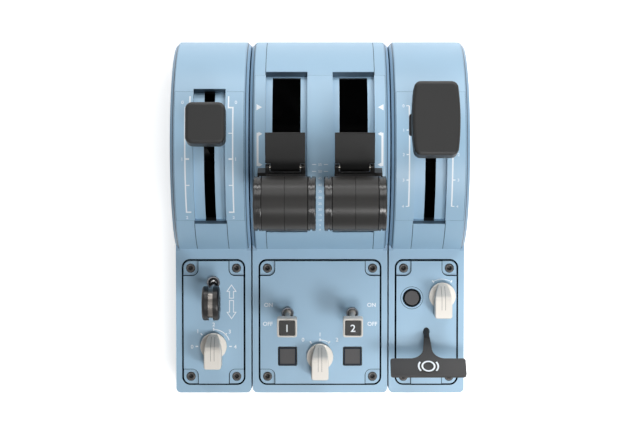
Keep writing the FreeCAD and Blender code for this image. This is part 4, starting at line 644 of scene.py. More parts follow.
def loft(rings):
    """A closed skin over rings of equal count, with a flat face at each end."""
    shape = bmesh.new()
    laid = [[shape.verts.new(point) for point in ring] for ring in rings]
    for below, above in zip(laid, laid[1:]):
        for step in range(len(below)):
            after = (step + 1) % len(below)
            shape.faces.new((below[step], below[after], above[after], above[step]))
    shape.faces.new(list(reversed(laid[0])))
    shape.faces.new(laid[-1])
    bmesh.ops.recalc_face_normals(shape, faces=shape.faces)
    return shape


def layout_tree(name, inputs, output):
    """An empty Geometry Nodes tree with its named sockets, and its two end nodes."""
    tree = bpy.data.node_groups.new(name + "_layout", "GeometryNodeTree")
    sockets = {}
    for label, kind in inputs:
        sockets[label] = tree.interface.new_socket(label, in_out="INPUT", socket_type=kind)
    tree.interface.new_socket(output, in_out="OUTPUT", socket_type="NodeSocketGeometry")
    return tree, sockets, tree.nodes.new("NodeGroupInput"), tree.nodes.new("NodeGroupOutput")


def end_layout(tree, instances, source, result):
    """The last steps of a layout: the instances become real and take the finish."""
    real = tree.nodes.new("GeometryNodeRealizeInstances")
    coat = tree.nodes.new("GeometryNodeSetMaterial")
    tree.links.new(instances, real.inputs[0])
    tree.links.new(real.outputs[0], coat.inputs["Geometry"])
    tree.links.new(source.outputs["Finish"], coat.inputs["Material"])
    tree.links.new(coat.outputs[0], result.inputs[0])


def lay_out(piece, tree, sockets, values):
    """Runs a layout on a piece with these values, and keeps the plain mesh that it makes."""
    layout = piece.modifiers.new("layout", "NODES")
    layout.node_group = tree
    for label, value in values.items():
        layout[sockets[label].identifier] = value
    graph = bpy.context.evaluated_depsgraph_get()
    mesh = bpy.data.meshes.new_from_object(piece.evaluated_get(graph))
    piece.modifiers.clear()
    piece.data = mesh


def screw_pattern(name, shape, spots, lean, seed, material, body, node):
    """Screws by Geometry Nodes: one on each spot, leaned to the surface, each at its own turn."""
    mesh = bpy.data.meshes.new(name + "_one")
    shape.to_mesh(mesh)
    shape.free()
    pattern = bpy.data.objects.new(name + "_one", mesh)
    spot_mesh = bpy.data.meshes.new(name)
    spot_mesh.from_pydata(spots, [], [])
    piece = bpy.data.objects.new(name, spot_mesh)
    bpy.context.collection.objects.link(piece)

    tree, sockets, source, result = layout_tree(
        name,
        [
            ("Spots", "NodeSocketGeometry"),
            ("Screw", "NodeSocketObject"),
            ("Lean", "NodeSocketFloat"),
            ("Seed", "NodeSocketInt"),
            ("Finish", "NodeSocketMaterial"),
        ],
        "Screws",
    )
    one = tree.nodes.new("GeometryNodeObjectInfo")
    stand = tree.nodes.new("GeometryNodeInstanceOnPoints")
    tilt = tree.nodes.new("ShaderNodeCombineXYZ")
    chance = tree.nodes.new("FunctionNodeRandomValue")
    chance.data_type = "FLOAT"
    float_max, float_out = 3, 1
    chance.inputs[float_max].default_value = 2 * math.pi
    spin = tree.nodes.new("ShaderNodeCombineXYZ")
    turn = tree.nodes.new("GeometryNodeRotateInstances")
    tree.links.new(source.outputs["Spots"], stand.inputs["Points"])
    tree.links.new(source.outputs["Screw"], one.inputs["Object"])
    tree.links.new(one.outputs["Geometry"], stand.inputs["Instance"])
    tree.links.new(source.outputs["Lean"], tilt.inputs["X"])
    tree.links.new(tilt.outputs[0], stand.inputs["Rotation"])
    tree.links.new(source.outputs["Seed"], chance.inputs["Seed"])
    tree.links.new(chance.outputs[float_out], spin.inputs["Z"])
    tree.links.new(stand.outputs[0], turn.inputs["Instances"])
    tree.links.new(spin.outputs[0], turn.inputs["Rotation"])
    end_layout(tree, turn.outputs[0], source, result)
    values = {"Screw": pattern, "Lean": lean, "Seed": seed, "Finish": material}
    lay_out(piece, tree, sockets, values)
    bpy.data.objects.remove(pattern)
    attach(piece, body)
    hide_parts(node)


def islands(node):
    """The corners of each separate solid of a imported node, in the order of its mesh."""
    shape = bmesh.new()
    shape.from_mesh(nodes[node].data)
    bmesh.ops.remove_doubles(shape, verts=shape.verts, dist=1e-6)
    seen = set()
    found = []
    for first in shape.verts:
        if first in seen:
            continue
        seen.add(first)
        stack = [first]
        solid = []
        while stack:
            corner = stack.pop()
            solid.append(corner.co.copy())
            for edge in corner.link_edges:
                other = edge.other_vert(corner)
                if other not in seen:
                    seen.add(other)
                    stack.append(other)
        found.append(solid)
    shape.free()
    return found


def paint_over(material, mask, chip):
    """Adds a colour over a finish where a mask in its own tree is 1."""
    tree = material.node_tree
    colour = tree.nodes["Principled BSDF"].inputs["Base Color"]
    tone = colour.links[0].from_socket
    tree.links.new(blend_colours(tree, mask, tone, chip), colour)


# The drive recess is painted dark as shade: the attribute is 1 inside it.
black_oxide = moulded(
    "black_oxide", shade(66, 64, 63), 0.34, grain=0.0002, pit_depth=0.000003, wear_and_sheen=0.5,
    worn_and_lit=shade(130, 127, 122), metallic=0.6, uneven=0.12,
)
recess = black_oxide.node_tree.nodes.new("ShaderNodeAttribute")
recess.attribute_name = "recess"
paint_over(black_oxide, recess.outputs["Fac"], shade(8, 8, 9))


def mark_recess(shape, rings):
    """Sets the recess attribute on the last rings of a lofted screw."""
    mark = shape.verts.layers.float.new("recess")
    shape.verts.ensure_lookup_table()
    for corner in shape.verts[-SCREW_SIDES * rings:]:
        corner[mark] = 1.0
    return shape


THREAD_RADIUS = 1.45 * MM
HEAD_RADIUS = 2.7 * MM
HEAD_HEIGHT = 1.4 * MM
SCREW_LENGTH = 8.0 * MM
CROSS_WIDE = 1.1 * MM
CROSS_NARROW = 0.4 * MM
CROSS_DEPTH = 1.0 * MM
cover_screw = [
    ring_of_points(THREAD_RADIUS, SCREW_LENGTH),
    ring_of_points(THREAD_RADIUS, HEAD_HEIGHT),
    ring_of_points(HEAD_RADIUS, HEAD_HEIGHT),
    ring_of_points(HEAD_RADIUS, 0.5 * MM),
    ring_of_points(HEAD_RADIUS * 0.9, 0.15 * MM),
    ring_of_points(HEAD_RADIUS * 0.7, 0),
    ring_of_points(CROSS_WIDE, 0, flats=4),
    ring_of_points(CROSS_NARROW, CROSS_DEPTH, flats=4),
]
cover_spots = []
for solid in islands("cover_screws"):
    cover_spots.append((
        halfway([corner.x for corner in solid]),
        halfway([corner.y for corner in solid]),
        min(corner.z for corner in solid),
    ))
screw_pattern(
    "cover_screw_set", mark_recess(loft(cover_screw), 1), cover_spots, 0.0, 3, black_oxide,
    "base", "cover_screws",
)

# ---------------------------------------------------------------- scale plates and slot guides
# Curved blue plates set flush in the drums, with the lever slots between stepped guides of the
# same plastic. Their lines, arrows and numbers are pad printed in white ink.
for module in MODULES:
    plate_plastic = moulded(
        f"{module}_plate_blue", SHELL_BLUE, 0.42, worn_and_lit=WORN_AND_LIT_BLUE, crevice=SEAM_SHADE_BLUE
    )
    finish_node(f"{module}_scale_plates", plate_plastic)

# The rear end wall of each slot gets painted shadow, the stepped ledges are blue, and everything
# under them is painted black as shade, as is the narrow slot's own cut in the two outer modules.
GUIDE_TOP = 4 * MM
GUIDE_LEDGE = 4.42 * MM
GUIDE_UNDER = 4.62 * MM
guide_drum = {"axis": (0, drum_axis.y, drum_axis.z), "half_width": 1.0}
guide_zones = []
for module, rear_end, half_width in (
    ("left", 30.0, 11 * MM), ("centre", 41.6, 36 * MM), ("right", 30.0, 11 * MM),
):
    turn = math.radians(rear_end)
    level = drum_radius - GUIDE_TOP
    end_wall = (
        module_middle[module],
        drum_axis.y + level * math.sin(turn),
        drum_axis.z + level * math.cos(turn),
    )
    guide_zones.append(
        ({"axis": end_wall, "radius": 5 * MM, "half_width": half_width}, END_SHADOW_NAVY)
    )
guide_zones.append(({**guide_drum, "radius": drum_radius - GUIDE_LEDGE}, None))
for module in ("left", "right"):
    behind_slot = {
        "axis": (module_middle[module], drum_axis.y, drum_axis.z),
        "radius": drum_radius - 2.9 * MM,
        "half_width": 3.3 * MM,
    }
    guide_zones.append((behind_slot, INSIDE_SHADE_BLACK))
guide_zones.append(({**guide_drum, "radius": drum_radius - GUIDE_UNDER}, INSIDE_SHADE_BLACK))
guide_plastic = moulded(
    "guide_blue", SHELL_BLUE, 0.42, worn_and_lit=WORN_AND_LIT_BLUE, crevice=SEAM_SHADE_BLUE, zones=guide_zones
)
finish_node("slot_guides", guide_plastic)

INK_THICKNESS = 0.05 * MM
white_ink = moulded(
    "white_ink", shade(232, 238, 243), 0.5, grain=0.00015, pit_depth=0.000004, wear_and_sheen=0.0,
    uneven=0.04,
)


def on_drum(module):
    """Lays points given as millimetres across and degrees in front of the top onto a drum."""
    middle = module_middle[module]

    def lay(across, degrees, lift):
        angle = math.radians(degrees)
        radius = drum_radius + lift
        return Vector((
            middle + across * MM,
            drum_axis.y + radius * math.sin(angle),
            drum_axis.z + radius * math.cos(angle),
        ))

    return lay


def ink_line(ink, lay, points, width, closed=False, reach=1.5):
    """A printed line of even width, mitred at its corners. Long runs follow the surface."""
    path = []
    count = len(points)
    for step in range(count if closed else count - 1):
        here = Vector(points[step])
        there = Vector(points[(step + 1) % count])
        cuts = max(1, math.ceil((there - here).length / reach))
        path += [here.lerp(there, cut / cuts) for cut in range(cuts)]
    if not closed:
        path.append(Vector(points[-1]))
    rungs = []
    for step, here in enumerate(path):
        before = path[step - 1] if step or closed else None
        after = path[(step + 1) % len(path)] if step < len(path) - 1 or closed else None
        into = (here - before).normalized() if before is not None else None
        out = (after - here).normalized() if after is not None else into
        into = into or out
        side = Vector((-into.y - out.y, into.x + out.x)).normalized()
        half = width / 2 / max(0.5, side.dot(Vector((-out.y, out.x))))
        edge_a = here + side * half
        edge_b = here - side * half
        rungs.append([
            ink.verts.new(lay(edge.x, edge.y, lift))
            for edge, lift in (
                (edge_a, -INK_THICKNESS), (edge_b, -INK_THICKNESS),
                (edge_b, INK_THICKNESS), (edge_a, INK_THICKNESS),
            )
        ])
    pairs = list(zip(rungs, rungs[1:]))
    if closed:
        pairs.append((rungs[-1], rungs[0]))
    for first, second in pairs:
        for step in range(4):
            after = (step + 1) % 4
            ink.faces.new((first[step], first[after], second[after], second[step]))
    if not closed:
        ink.faces.new(rungs[0])
        ink.faces.new(rungs[-1])


def ink_patch(ink, lay, points):
    """A small filled shape of ink."""
    low = [ink.verts.new(lay(x, y, -INK_THICKNESS)) for x, y in points]
    high = [ink.verts.new(lay(x, y, INK_THICKNESS)) for x, y in points]
    ink.faces.new(low)
    ink.faces.new(high)
    for step in range(len(points)):
        after = (step + 1) % len(points)
        ink.faces.new((low[step], low[after], high[after], high[step]))


def ink_text(ink, lay, words, right, up, height, up_scale=1.0, weight=0.0):
    """Numbers, ON or OFF in ink: flat characters given a thickness, then laid on the surface."""
    capital_share = 0.72
    curve = bpy.data.curves.new("characters", "FONT")
    curve.body = words
    curve.size = height / capital_share
    curve.align_x = "CENTER"
    curve.extrude = 1.0
    curve.offset = weight
    curve.resolution_u = 4
    holder = bpy.data.objects.new("characters", curve)
    bpy.context.collection.objects.link(holder)
    graph = bpy.context.evaluated_depsgraph_get()
    mesh = bpy.data.meshes.new_from_object(holder.evaluated_get(graph))
    for vertex in mesh.vertices:
        across = right + vertex.co.x
        along = up + (vertex.co.y - height / 2) * up_scale
        vertex.co = lay(across, along, vertex.co.z * INK_THICKNESS)
    ink.from_mesh(mesh)
    bpy.data.objects.remove(holder)
    bpy.data.curves.remove(curve)
    bpy.data.meshes.remove(mesh)


# The scales are set out in millimetres from the middle of a drum and in degrees from its top.
DEGREES_PER_MM = math.degrees(MM / drum_radius)
LINE = 0.85
FINE_LINE = 0.5

# Speedbrake scale: a stepped line on each side of the slot, with its ticks turned inwards.
BRAKE_RAIL = 14.8
BRAKE_STEP = 12.0
BRAKE_HALF = -7.9
BRAKE_FULL = -37.7
speedbrake_ink = bmesh.new()
lay = on_drum("left")
for side in (-1, 1):
    rail = [
        (side * BRAKE_STEP, 25.5), (side * BRAKE_STEP, 19), (side * BRAKE_RAIL, 19),
        (side * BRAKE_RAIL, BRAKE_FULL), (side * 11.8, BRAKE_FULL),
    ]
    ink_line(speedbrake_ink, lay, rail, LINE)
    for level, width in ((5.3, FINE_LINE), (BRAKE_HALF, LINE), (-21.8, FINE_LINE)):
        ink_line(
            speedbrake_ink, lay, [(side * BRAKE_RAIL, level), (side * 12.2, level)], width
        )
    for words, across, level in (("0", 16.6, 22), ("1", 16.6, BRAKE_HALF), ("2", 14.6, -41.2)):
        ink_text(speedbrake_ink, lay, words, side * across, level, 2.3, DEGREES_PER_MM)
finish_piece("speedbrake_scale_print", speedbrake_ink, white_ink, "base")

# Thrust scale: an arrowhead and a bracket at each side, and rows of angles between the levers.
BRACKET_PLACE = 38.6
ANGLE_ROWS = 12
FIRST_ROW = -10.7
ROW_PITCH = 3.6
thrust_ink = bmesh.new()
lay = on_drum("centre")
for side in (-1, 1):
    arrow = [(side * 39.4, 20.9), (side * 36.0, 19.2), (side * 39.4, 17.5)]
    ink_patch(thrust_ink, lay, arrow)
    bracket = [(side * BRACKET_PLACE, 5.6), (side * BRACKET_PLACE, -11.5)]
    ink_line(thrust_ink, lay, bracket, 1.3)
    for top, bottom in ((6.1, 3.9), (-9.7, -11.9)):
        tip = [(side * 38.0, top), (side * 38.0, bottom), (side * 35.6, (top + bottom) / 2)]
        ink_patch(thrust_ink, lay, tip)
for row in range(ANGLE_ROWS):
    level = FIRST_ROW - ROW_PITCH * row
    ink_text(thrust_ink, lay, str(55 - 5 * row), 0, level, 1.7, DEGREES_PER_MM)
    for side in (-1, 1):
        ink_line(thrust_ink, lay, [(side * 2.4, level), (side * 4.9, level)], 0.35)
finish_piece("thrust_scale_print", thrust_ink, white_ink, "base")

# Flap scale: a line on each side of the slot and five numbered stops.
FLAP_RAIL = 13.4
FLAP_STOPS = (20, 7, -5.6, -18.9, -34)
flap_ink = bmesh.new()
lay = on_drum("right")
for side in (-1, 1):
    rail = [(side * FLAP_RAIL, FLAP_STOPS[0]), (side * FLAP_RAIL, FLAP_STOPS[-1])]
    ink_line(flap_ink, lay, rail, LINE)
    for number, level in enumerate(FLAP_STOPS):
        ink_line(flap_ink, lay, [(side * FLAP_RAIL, level), (side * 15.2, level)], FINE_LINE)
        ink_text(flap_ink, lay, str(number), side * 17.0, level, 1.9, DEGREES_PER_MM)
finish_piece("flap_scale_print", flap_ink, white_ink, "base")

# ---------------------------------------------------------------- faceplates
# Each deck has a moulded blue plate with four sunk corner pads, held by black socket screws. The
# marks are pad printed in white like those on the drums.
for module in MODULES:
    face_plastic = moulded(
        f"{module}_face_blue", SHELL_BLUE, 0.42, worn_and_lit=WORN_AND_LIT_BLUE, crevice=GAP_SHADE_NAVY,
        outline=face_outline(module, False),
    )
    finish_node(f"{module}_faceplate", face_plastic)

deck_lean = math.atan2(-deck_up.y, deck_up.z)


def on_deck(joint=None, node=None, level=None):
    """Lays points, in millimetres right of and ahead of a joint or a node's middle, on a plate."""
    origin = Vector(joints[joint]["pos_m"]) if joint else sum(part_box(node), Vector()) / 2
    origin += deck_up * ((level or face_level) - origin.dot(deck_up))

    def lay(right, ahead, lift):
        return origin + Vector((right * MM, 0, 0)) + deck_ahead * (ahead * MM) + deck_up * lift

    return lay


SOCKET = 1.4 * MM
SOCKET_DEPTH = 1.3 * MM
face_screw = [
    ring_of_points(THREAD_RADIUS, -SCREW_LENGTH),
    ring_of_points(THREAD_RADIUS, -HEAD_HEIGHT),
    ring_of_points(HEAD_RADIUS, -HEAD_HEIGHT),
    ring_of_points(HEAD_RADIUS, -0.35 * MM),
    ring_of_points(HEAD_RADIUS * 0.93, -0.08 * MM),
    ring_of_points(HEAD_RADIUS * 0.84, 0),
    ring_of_points(SOCKET * 1.34, 0),
    ring_of_points(SOCKET * 1.16, -0.05 * MM, flats=6),
    ring_of_points(SOCKET, -0.2 * MM, flats=6),
    ring_of_points(SOCKET, -SOCKET_DEPTH, flats=6),
    ring_of_points(SOCKET * 0.2, -SOCKET_DEPTH * 1.25, flats=6),
]
face_spots = []
for solid in islands("faceplate_screws"):
    top = max(corner.dot(deck_up) for corner in solid)
    across = halfway([corner.x for corner in solid])
    ahead = halfway([corner.dot(deck_ahead) for corner in solid])
    face_spots.append(Vector((across, 0, 0)) + deck_ahead * ahead + deck_up * top)
screw_pattern(
    "faceplate_screw_set", mark_recess(loft(face_screw), 3), face_spots, deck_lean, 11,
    black_oxide, "base", "faceplate_screws",
)


def dial_ticks(name, lay_on, count, radius, first, step, length, width):
    """Ticks round a knob by Geometry Nodes: bars turned about the knob and pushed out."""
    tree, sockets, source, result = layout_tree(
        name,
        [
            ("Count", "NodeSocketInt"),
            ("Radius", "NodeSocketFloat"),
            ("First", "NodeSocketFloat"),
            ("Step", "NodeSocketFloat"),
            ("Finish", "NodeSocketMaterial"),
        ],
        "Ticks",
    )
    points = tree.nodes.new("GeometryNodePoints")
    bar = tree.nodes.new("GeometryNodeMeshCube")
    bar.inputs["Size"].default_value = (width * MM, length * MM, 2 * INK_THICKNESS)
    stand = tree.nodes.new("GeometryNodeInstanceOnPoints")
    index = tree.nodes.new("GeometryNodeInputIndex")
    angle = calculate(tree, "MULTIPLY", index.outputs[0], source.outputs["Step"])
    angle = calculate(tree, "ADD", angle, source.outputs["First"])
    turn = tree.nodes.new("ShaderNodeCombineXYZ")
    tree.links.new(calculate(tree, "MULTIPLY", angle, -1.0), turn.inputs["Z"])
    push = tree.nodes.new("ShaderNodeCombineXYZ")
    move = tree.nodes.new("GeometryNodeTranslateInstances")
    tree.links.new(source.outputs["Count"], points.inputs["Count"])
    tree.links.new(points.outputs[0], stand.inputs["Points"])
    tree.links.new(bar.outputs["Mesh"], stand.inputs["Instance"])
    tree.links.new(turn.outputs[0], stand.inputs["Rotation"])
    tree.links.new(source.outputs["Radius"], push.inputs["Y"])
    tree.links.new(stand.outputs[0], move.inputs["Instances"])
    tree.links.new(push.outputs[0], move.inputs["Translation"])
    end_layout(tree, move.outputs[0], source, result)
    piece = bpy.data.objects.new(name, bpy.data.meshes.new(name))
    bpy.context.collection.objects.link(piece)
    lay_out(piece, tree, sockets, {
        "Count": count,
        "Radius": radius * MM,
        "First": math.radians(first),
        "Step": math.radians(step),
        "Finish": white_ink,
    })
    for vertex in piece.data.vertices:
        flat = vertex.co
        vertex.co = lay_on(flat.x / MM, flat.y / MM, flat.z)
    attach(piece, "base")


def around(radius, degrees):
    """A place on a circle, at an angle turned clockwise from straight ahead."""
    turn = math.radians(degrees)
    return radius * math.sin(turn), radius * math.cos(turn)


def arc_points(radius, first, last, step):
    """Places along an arc from one angle until just before another."""
    return [around(radius, degrees) for degrees in range(first, last, step)]


# Gear: an outlined arrow up and one down beside the lever.
ARROW_PLACE = 11.6
ARROW_SHAFT = 1.3
ARROW_HEAD = 2.9
ARROW_TIP = 4.2
face_ink = bmesh.new()
lay = on_deck("gear")
for foot, tip in ((-10.1, -1.5), (-11.6, -23.4)):
    way = 1 if tip > foot else -1
    neck = tip - way * ARROW_TIP
    outline = [
        (ARROW_PLACE - ARROW_SHAFT, foot), (ARROW_PLACE - ARROW_SHAFT, neck),
        (ARROW_PLACE - ARROW_HEAD, neck), (ARROW_PLACE, tip), (ARROW_PLACE + ARROW_HEAD, neck),
        (ARROW_PLACE + ARROW_SHAFT, neck), (ARROW_PLACE + ARROW_SHAFT, foot),
    ]
    ink_line(face_ink, lay, outline, 0.5, closed=True)

# Autobrake dial: an arc over its active stops, and a number at every stop.
ARC_RADIUS = 10.7
ARC_LINE = 0.55
TICK_RADIUS = 10.9
NUMBER_RADIUS = 14.0
DIAL_NUMBER = 2.5
DIAL_WEIGHT = 0.06
lay = on_deck("autobrake_turn")
ink_line(face_ink, lay, arc_points(ARC_RADIUS, 0, 71, 5), ARC_LINE)
for number, degrees in enumerate((-92, -47, 0, 48, 92)):
    right, ahead = around(NUMBER_RADIUS, degrees)
    ink_text(face_ink, lay, str(number), right, ahead, DIAL_NUMBER, weight=DIAL_WEIGHT)
dial_ticks("autobrake_ticks", lay, 5, TICK_RADIUS, -92, 46, 1.7, 0.8)

# Master switches: ON ahead and OFF nearer the user, on the outer side of each.
SWITCH_WORD = 2.6
for master, side in (("master_1_switch", -1), ("master_2_switch", 1)):
    lay = on_deck(master)
    for word, right, ahead in (("ON", 12.4, 5.4), ("OFF", 12.9, -6.9)):
        ink_text(face_ink, lay, word, side * right, ahead, SWITCH_WORD, weight=DIAL_WEIGHT)

# Mode dial: three stops joined by an arc on the start side.
lay = on_deck("mode_turn")
ink_line(face_ink, lay, arc_points(ARC_RADIUS, 0, 36, 5), ARC_LINE)
for number, right, ahead in ((0, -11.0, 11.0), (1, 0, 14.4), (2, 11.0, 11.0)):
    ink_text(face_ink, lay, str(number), right, ahead, DIAL_NUMBER, weight=DIAL_WEIGHT)
dial_ticks("mode_ticks", lay, 3, TICK_RADIUS, -33, 33, 1.7, 0.8)

# Trim dial: a stop to each side.
lay = on_deck("trim_turn")
ink_line(face_ink, lay, arc_points(ARC_RADIUS, -33, 34, 6), 0.3)
dial_ticks("trim_ticks", lay, 2, TICK_RADIUS, -33, 66, 1.6, 0.7)
finish_piece("faceplate_print", face_ink, white_ink, "base")

# ---------------------------------------------------------------- speedbrake and flap levers
# Flat aluminium arms painted black on the side frames, with dark grey nylon knobs. The flap
# lever's latch collar slides on its arm under the knob.
arm_black = moulded("arm_black", shade(24, 25, 27), 0.4, specular=0.35, wear_and_sheen=0.25)
knob_grey = moulded(
    "knob_grey", shade(36, 36, 36), 0.46, grain=0.0005, pit_depth=0.000015, wear_and_sheen=0.12,
    uneven=0.05, specular=0.3,
)
finish_node("speedbrake_arm", arm_black)
finish_node("flap_arm", arm_black)
finish_node("speedbrake_knob", knob_grey)
finish_node("flap_knob", knob_grey)
collar_grey = moulded("collar_grey", shade(44, 44, 45), 0.45, wear_and_sheen=0.15, specular=0.3)
finish_node("flap_collar", collar_grey)

# ---------------------------------------------------------------- thrust levers
# Black arms carry a cross grip of two dark grey shells between glossy grooved end caps, with a
# disconnect button in the outer cap. A reverse lever turns on a steel pin ahead of each.
# Painted shade in the gaps and grooves of the thrust heads, grips, caps and tyres.
DEEP_SHADE_BLACK = shade(6, 6, 6)
head_grey = moulded(
    "head_grey", shade(34, 34, 34), 0.45, wear_and_sheen=0.0, uneven=0.04, specular=0.3,
    crevice=DEEP_SHADE_BLACK, reach=0.0025,
)
shell_grey = moulded(
    "shell_grey", shade(36, 35, 34), 0.36, grain=0.0005, pit_depth=0.000008, wear_and_sheen=0.08,
    uneven=0.05, specular=0.24, crevice=DEEP_SHADE_BLACK, reach=0.0008,
)
cap_gloss = moulded(
    "cap_gloss", shade(8, 7, 7), 0.22, pit_depth=0.0, wear_and_sheen=0.0, specular=0.4,
    crevice=DEEP_SHADE_BLACK, reach=0.0008,
)
reverse_grey = moulded(
    "reverse_grey", shade(32, 32, 32), 0.46, wear_and_sheen=0.0, uneven=0.04, specular=0.15,
    crevice=DEEP_SHADE_BLACK, reach=0.0012,
)
button_gloss = moulded("button_gloss", shade(44, 41, 38), 0.25, pit_depth=0.000002, wear_and_sheen=0.2)
pin_steel = metal("pin_steel", shade(176, 172, 164), 0.22, (0.03, 1, 1))
for number in (1, 2):
    finish_node(f"thrust_arm_{number}", head_grey)
    finish_node(f"grip_shells_{number}", shell_grey)
    finish_node(f"grip_caps_{number}", cap_gloss)
    finish_node(f"disconnect_button_{number}", button_gloss)
    finish_node(f"reverse_lever_{number}", reverse_grey)
    finish_node(f"reverse_pin_{number}", pin_steel)

# ---------------------------------------------------------------- landing gear lever
# A toggle switch's chromed rod carries a small moulded wheel: two glossy black tyre halves on a
# hub, like the wheel of the real lever.
tyre_black = moulded(
    "tyre_black", shade(9, 8, 8), 0.3, pit_depth=0.0, wear_and_sheen=0.1, worn_and_lit=shade(90, 84, 80),
    specular=0.35, crevice=DEEP_SHADE_BLACK, reach=0.0008,
)
# The hub's band between the tyres is bare metal.
HUB_BAND = 2.9 * MM
wheel_low, wheel_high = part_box("gear_wheel")
wheel_tree = tyre_black.node_tree
band = add_group(
    wheel_tree, in_cylinder, axis=((wheel_low.x + wheel_high.x) / 2, 0, 0), radius=1.0,
    half_width=HUB_BAND / 2,
)
paint_over(tyre_black, band.outputs["Mask"], shade(112, 108, 104))
wheel_metal = wheel_tree.nodes["Principled BSDF"].inputs["Metallic"]
wheel_gap = wheel_metal.links[0].from_socket
wheel_tree.links.new(
    calculate(wheel_tree, "MAXIMUM", wheel_gap, band.outputs["Mask"]), wheel_metal
)
bright_rod = metal("bright_rod", shade(188, 188, 188), 0.18)
finish_node("gear_lever", bright_rod)
finish_node("gear_wheel", tyre_black)
finish_node("toggle_switches", metal("toggle_nickel", shade(120, 122, 126), 0.22))

# ---------------------------------------------------------------- pointer knobs
# Three cream knobs in moulded nylon: a round skirt with a finger bar, whose sloped rear end
# points at the dial. Two grooves along the top of the bar are drawn as thin lines of painted
# shade.
knob_cream = moulded(
    "knob_cream", shade(226, 221, 213), 0.4, grain=0.0004, wear_and_sheen=0.15, worn_and_lit=shade(242, 239, 233),
    uneven=0.02,
)
# Painted shade for the grooves, drawn as thin lines.
groove_shade_brown = moulded("groove_shade_brown", shade(146, 142, 136), 0.7, wear_and_sheen=0.0)
KNOB_FALL = 12.1 / 8.0
BROW = 4.5
BROW_START = -2.42
BROW_END = 1.33
GROOVE_PLACE = 1.15
GROOVE_WIDTH = 0.3


def knob_drop(ahead):
    """How far the top of a finger bar lies under its flat part: a round brow, then a slope."""
    if ahead < BROW_START:
        return 0.0
    if ahead < BROW_END:
        return BROW - math.sqrt(BROW ** 2 - (ahead - BROW_START) ** 2)
    return ahead * KNOB_FALL


for knob, joint, body in (
    ("autobrake_knob", "autobrake_turn", "autobrake_selector"),
    ("mode_knob", "mode_turn", "mode_selector"),
    ("trim_knob", "trim_turn", "trim_selector"),
):
    finish_node(knob, knob_cream)
    lay = on_deck(joint)
    height = reach_along(knob, deck_up) - lay(0, 0, 0).dot(deck_up)

    def lay_top(right, ahead, lift, lay=lay, height=height):
        return lay(right, ahead, height - knob_drop(ahead) * MM + lift)

    grooves = bmesh.new()
    for side in (-1, 1):
        run = [(side * GROOVE_PLACE, ahead) for ahead in (6.5, BROW_END, -8)]
        ink_line(grooves, lay_top, run, GROOVE_WIDTH, reach=0.5)
    finish_piece(f"{knob}_grooves", grooves, groove_shade_brown, body)

# ---------------------------------------------------------------- engine master levers
# Toggle levers of grey-beige plastic with a square cap each. A black legend plate is set into
# the cap and shows the engine's number in white.
LEGEND_NUMBER = 5.0
cap_beige = moulded("cap_beige", shade(212, 208, 202), 0.36, wear_and_sheen=0.35, worn_and_lit=shade(238, 235, 230))
legend_black = moulded("legend_black", shade(16, 15, 13), 0.4, wear_and_sheen=0.0, specular=0.35)
for number, joint in ((1, "master_1_switch"), (2, "master_2_switch")):
    finish_node(f"master_lever_{number}", cap_beige)
    legend = f"master_legend_{number}"
    finish_node(legend, legend_black)
    corners = [Vector(vertex.co) for vertex in nodes[legend].data.vertices]
    pivot = Vector(joints[joint]["pos_m"])
    centre = sum(corners, Vector()) / len(corners)
    out = centre - pivot
    out.x = 0
    out.normalize()
    ahead = Vector((0, out.z, -out.y))
    top = reach_along(legend, out)
    middle = Vector((pivot.x, 0, 0)) + out * top + ahead * centre.dot(ahead)

    def lay_cap(right, up, lift, middle=middle, ahead=ahead, out=out):
        return middle + Vector((right * MM, 0, 0)) + ahead * (up * MM) + out * lift

    legend_ink = bmesh.new()
    ink_text(legend_ink, lay_cap, str(number), 0, 0, LEGEND_NUMBER, weight=0.08)
    finish_piece(f"master_number_{number}", legend_ink, white_ink, f"master_{number}")

# ---------------------------------------------------------------- push buttons
# Plain dark grey moulded caps in openings of the faceplates, pressed onto the push switches
# below: two square, one round. A line of painted shade shows round each, and the round one has a
# thin dark ring as well.
button_grey = moulded(
    "button_grey", shade(57, 56, 57), 0.5, grain=0.0005, wear_and_sheen=0.12, specular=0.4
)
for node in ("square_button_1", "square_button_2", "reset_button"):
    finish_node(node, button_grey)
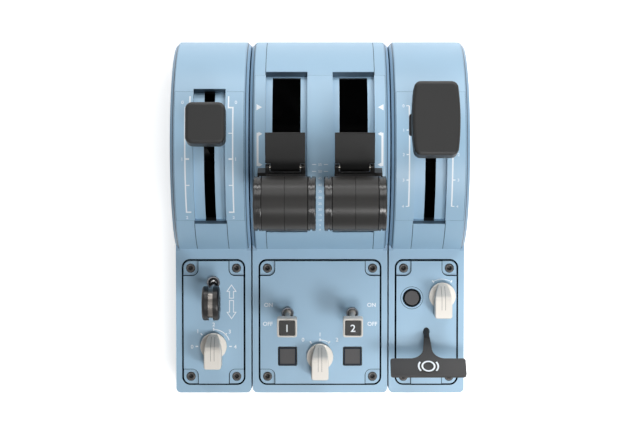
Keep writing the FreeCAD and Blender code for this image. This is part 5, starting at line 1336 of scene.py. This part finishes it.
# Painted shade lines round the buttons.
gap_shade_paint = moulded("gap_shade_paint", GAP_SHADE_NAVY, 0.6, wear_and_sheen=0.0, specular=0.1)
EDGE_PLACE = 5.2
EDGE_WIDTH = 0.7
for number, body in ((1, "left_push_button"), (2, "right_push_button")):
    node = f"square_button_{number}"
    lay = on_deck(node=node, level=reach_along(node, deck_up))
    square = [(x * EDGE_PLACE, y * EDGE_PLACE) for x, y in ((-1, -1), (1, -1), (1, 1), (-1, 1))]
    edge_ink = bmesh.new()
    ink_line(edge_ink, lay, square, EDGE_WIDTH, closed=True)
    finish_piece(f"button_edge_{number}", edge_ink, gap_shade_paint, body)
RESET_GAP = (5.75, 0.5)
RESET_RING = (7.2, 0.25)
gap_ink = bmesh.new()
lay = on_deck(node="reset_button")
for radius, width in (RESET_GAP, RESET_RING):
    ink_line(gap_ink, lay, arc_points(radius, 0, 360, 10), width, closed=True)
finish_piece("button_gap_lines", gap_ink, gap_shade_paint, "base")

# ---------------------------------------------------------------- parking brake
# A flat T handle cast in one piece with its stem, which turns in a bearing block under the
# faceplate. A generic brake mark is printed on its face.
handle_grey = moulded(
    "handle_grey", shade(50, 49, 49), 0.45, grain=0.0006, pit_depth=0.000015, wear_and_sheen=0.2,
    specular=0.35,
)
finish_node("park_brake_handle", handle_grey)
finish_node("park_brake_bearing", inner_black)
brake_out = Vector(joints["park_brake_turn"]["axis"])
brake_face = Vector((0, brake_out.z, -brake_out.y))
BAR_WIDTH = 14.2 * MM
MARK_LINE = 1.1
MARK_CIRCLE = 3.9
MARK_BRACKET = 6.2
brake_origin = (
    Vector((joints["park_brake_turn"]["pos_m"][0], 0, 0))
    + brake_out * (reach_along("park_brake_handle", brake_out) - BAR_WIDTH / 2)
    + brake_face * reach_along("park_brake_handle", brake_face)
)


def lay_brake(right, up, lift):
    """Lays points, in millimetres from the middle of the bar, on its face."""
    return brake_origin + Vector((right * MM, 0, 0)) - brake_out * (up * MM) + brake_face * lift


brake_ink = bmesh.new()
ink_line(brake_ink, lay_brake, arc_points(MARK_CIRCLE, 0, 360, 12), MARK_LINE, closed=True)
for side in (-1, 1):
    bracket = arc_points(MARK_BRACKET, side * 128, side * 51, side * -8)
    ink_line(brake_ink, lay_brake, bracket, MARK_LINE)
finish_piece("park_brake_print", brake_ink, white_ink, "park_brake")
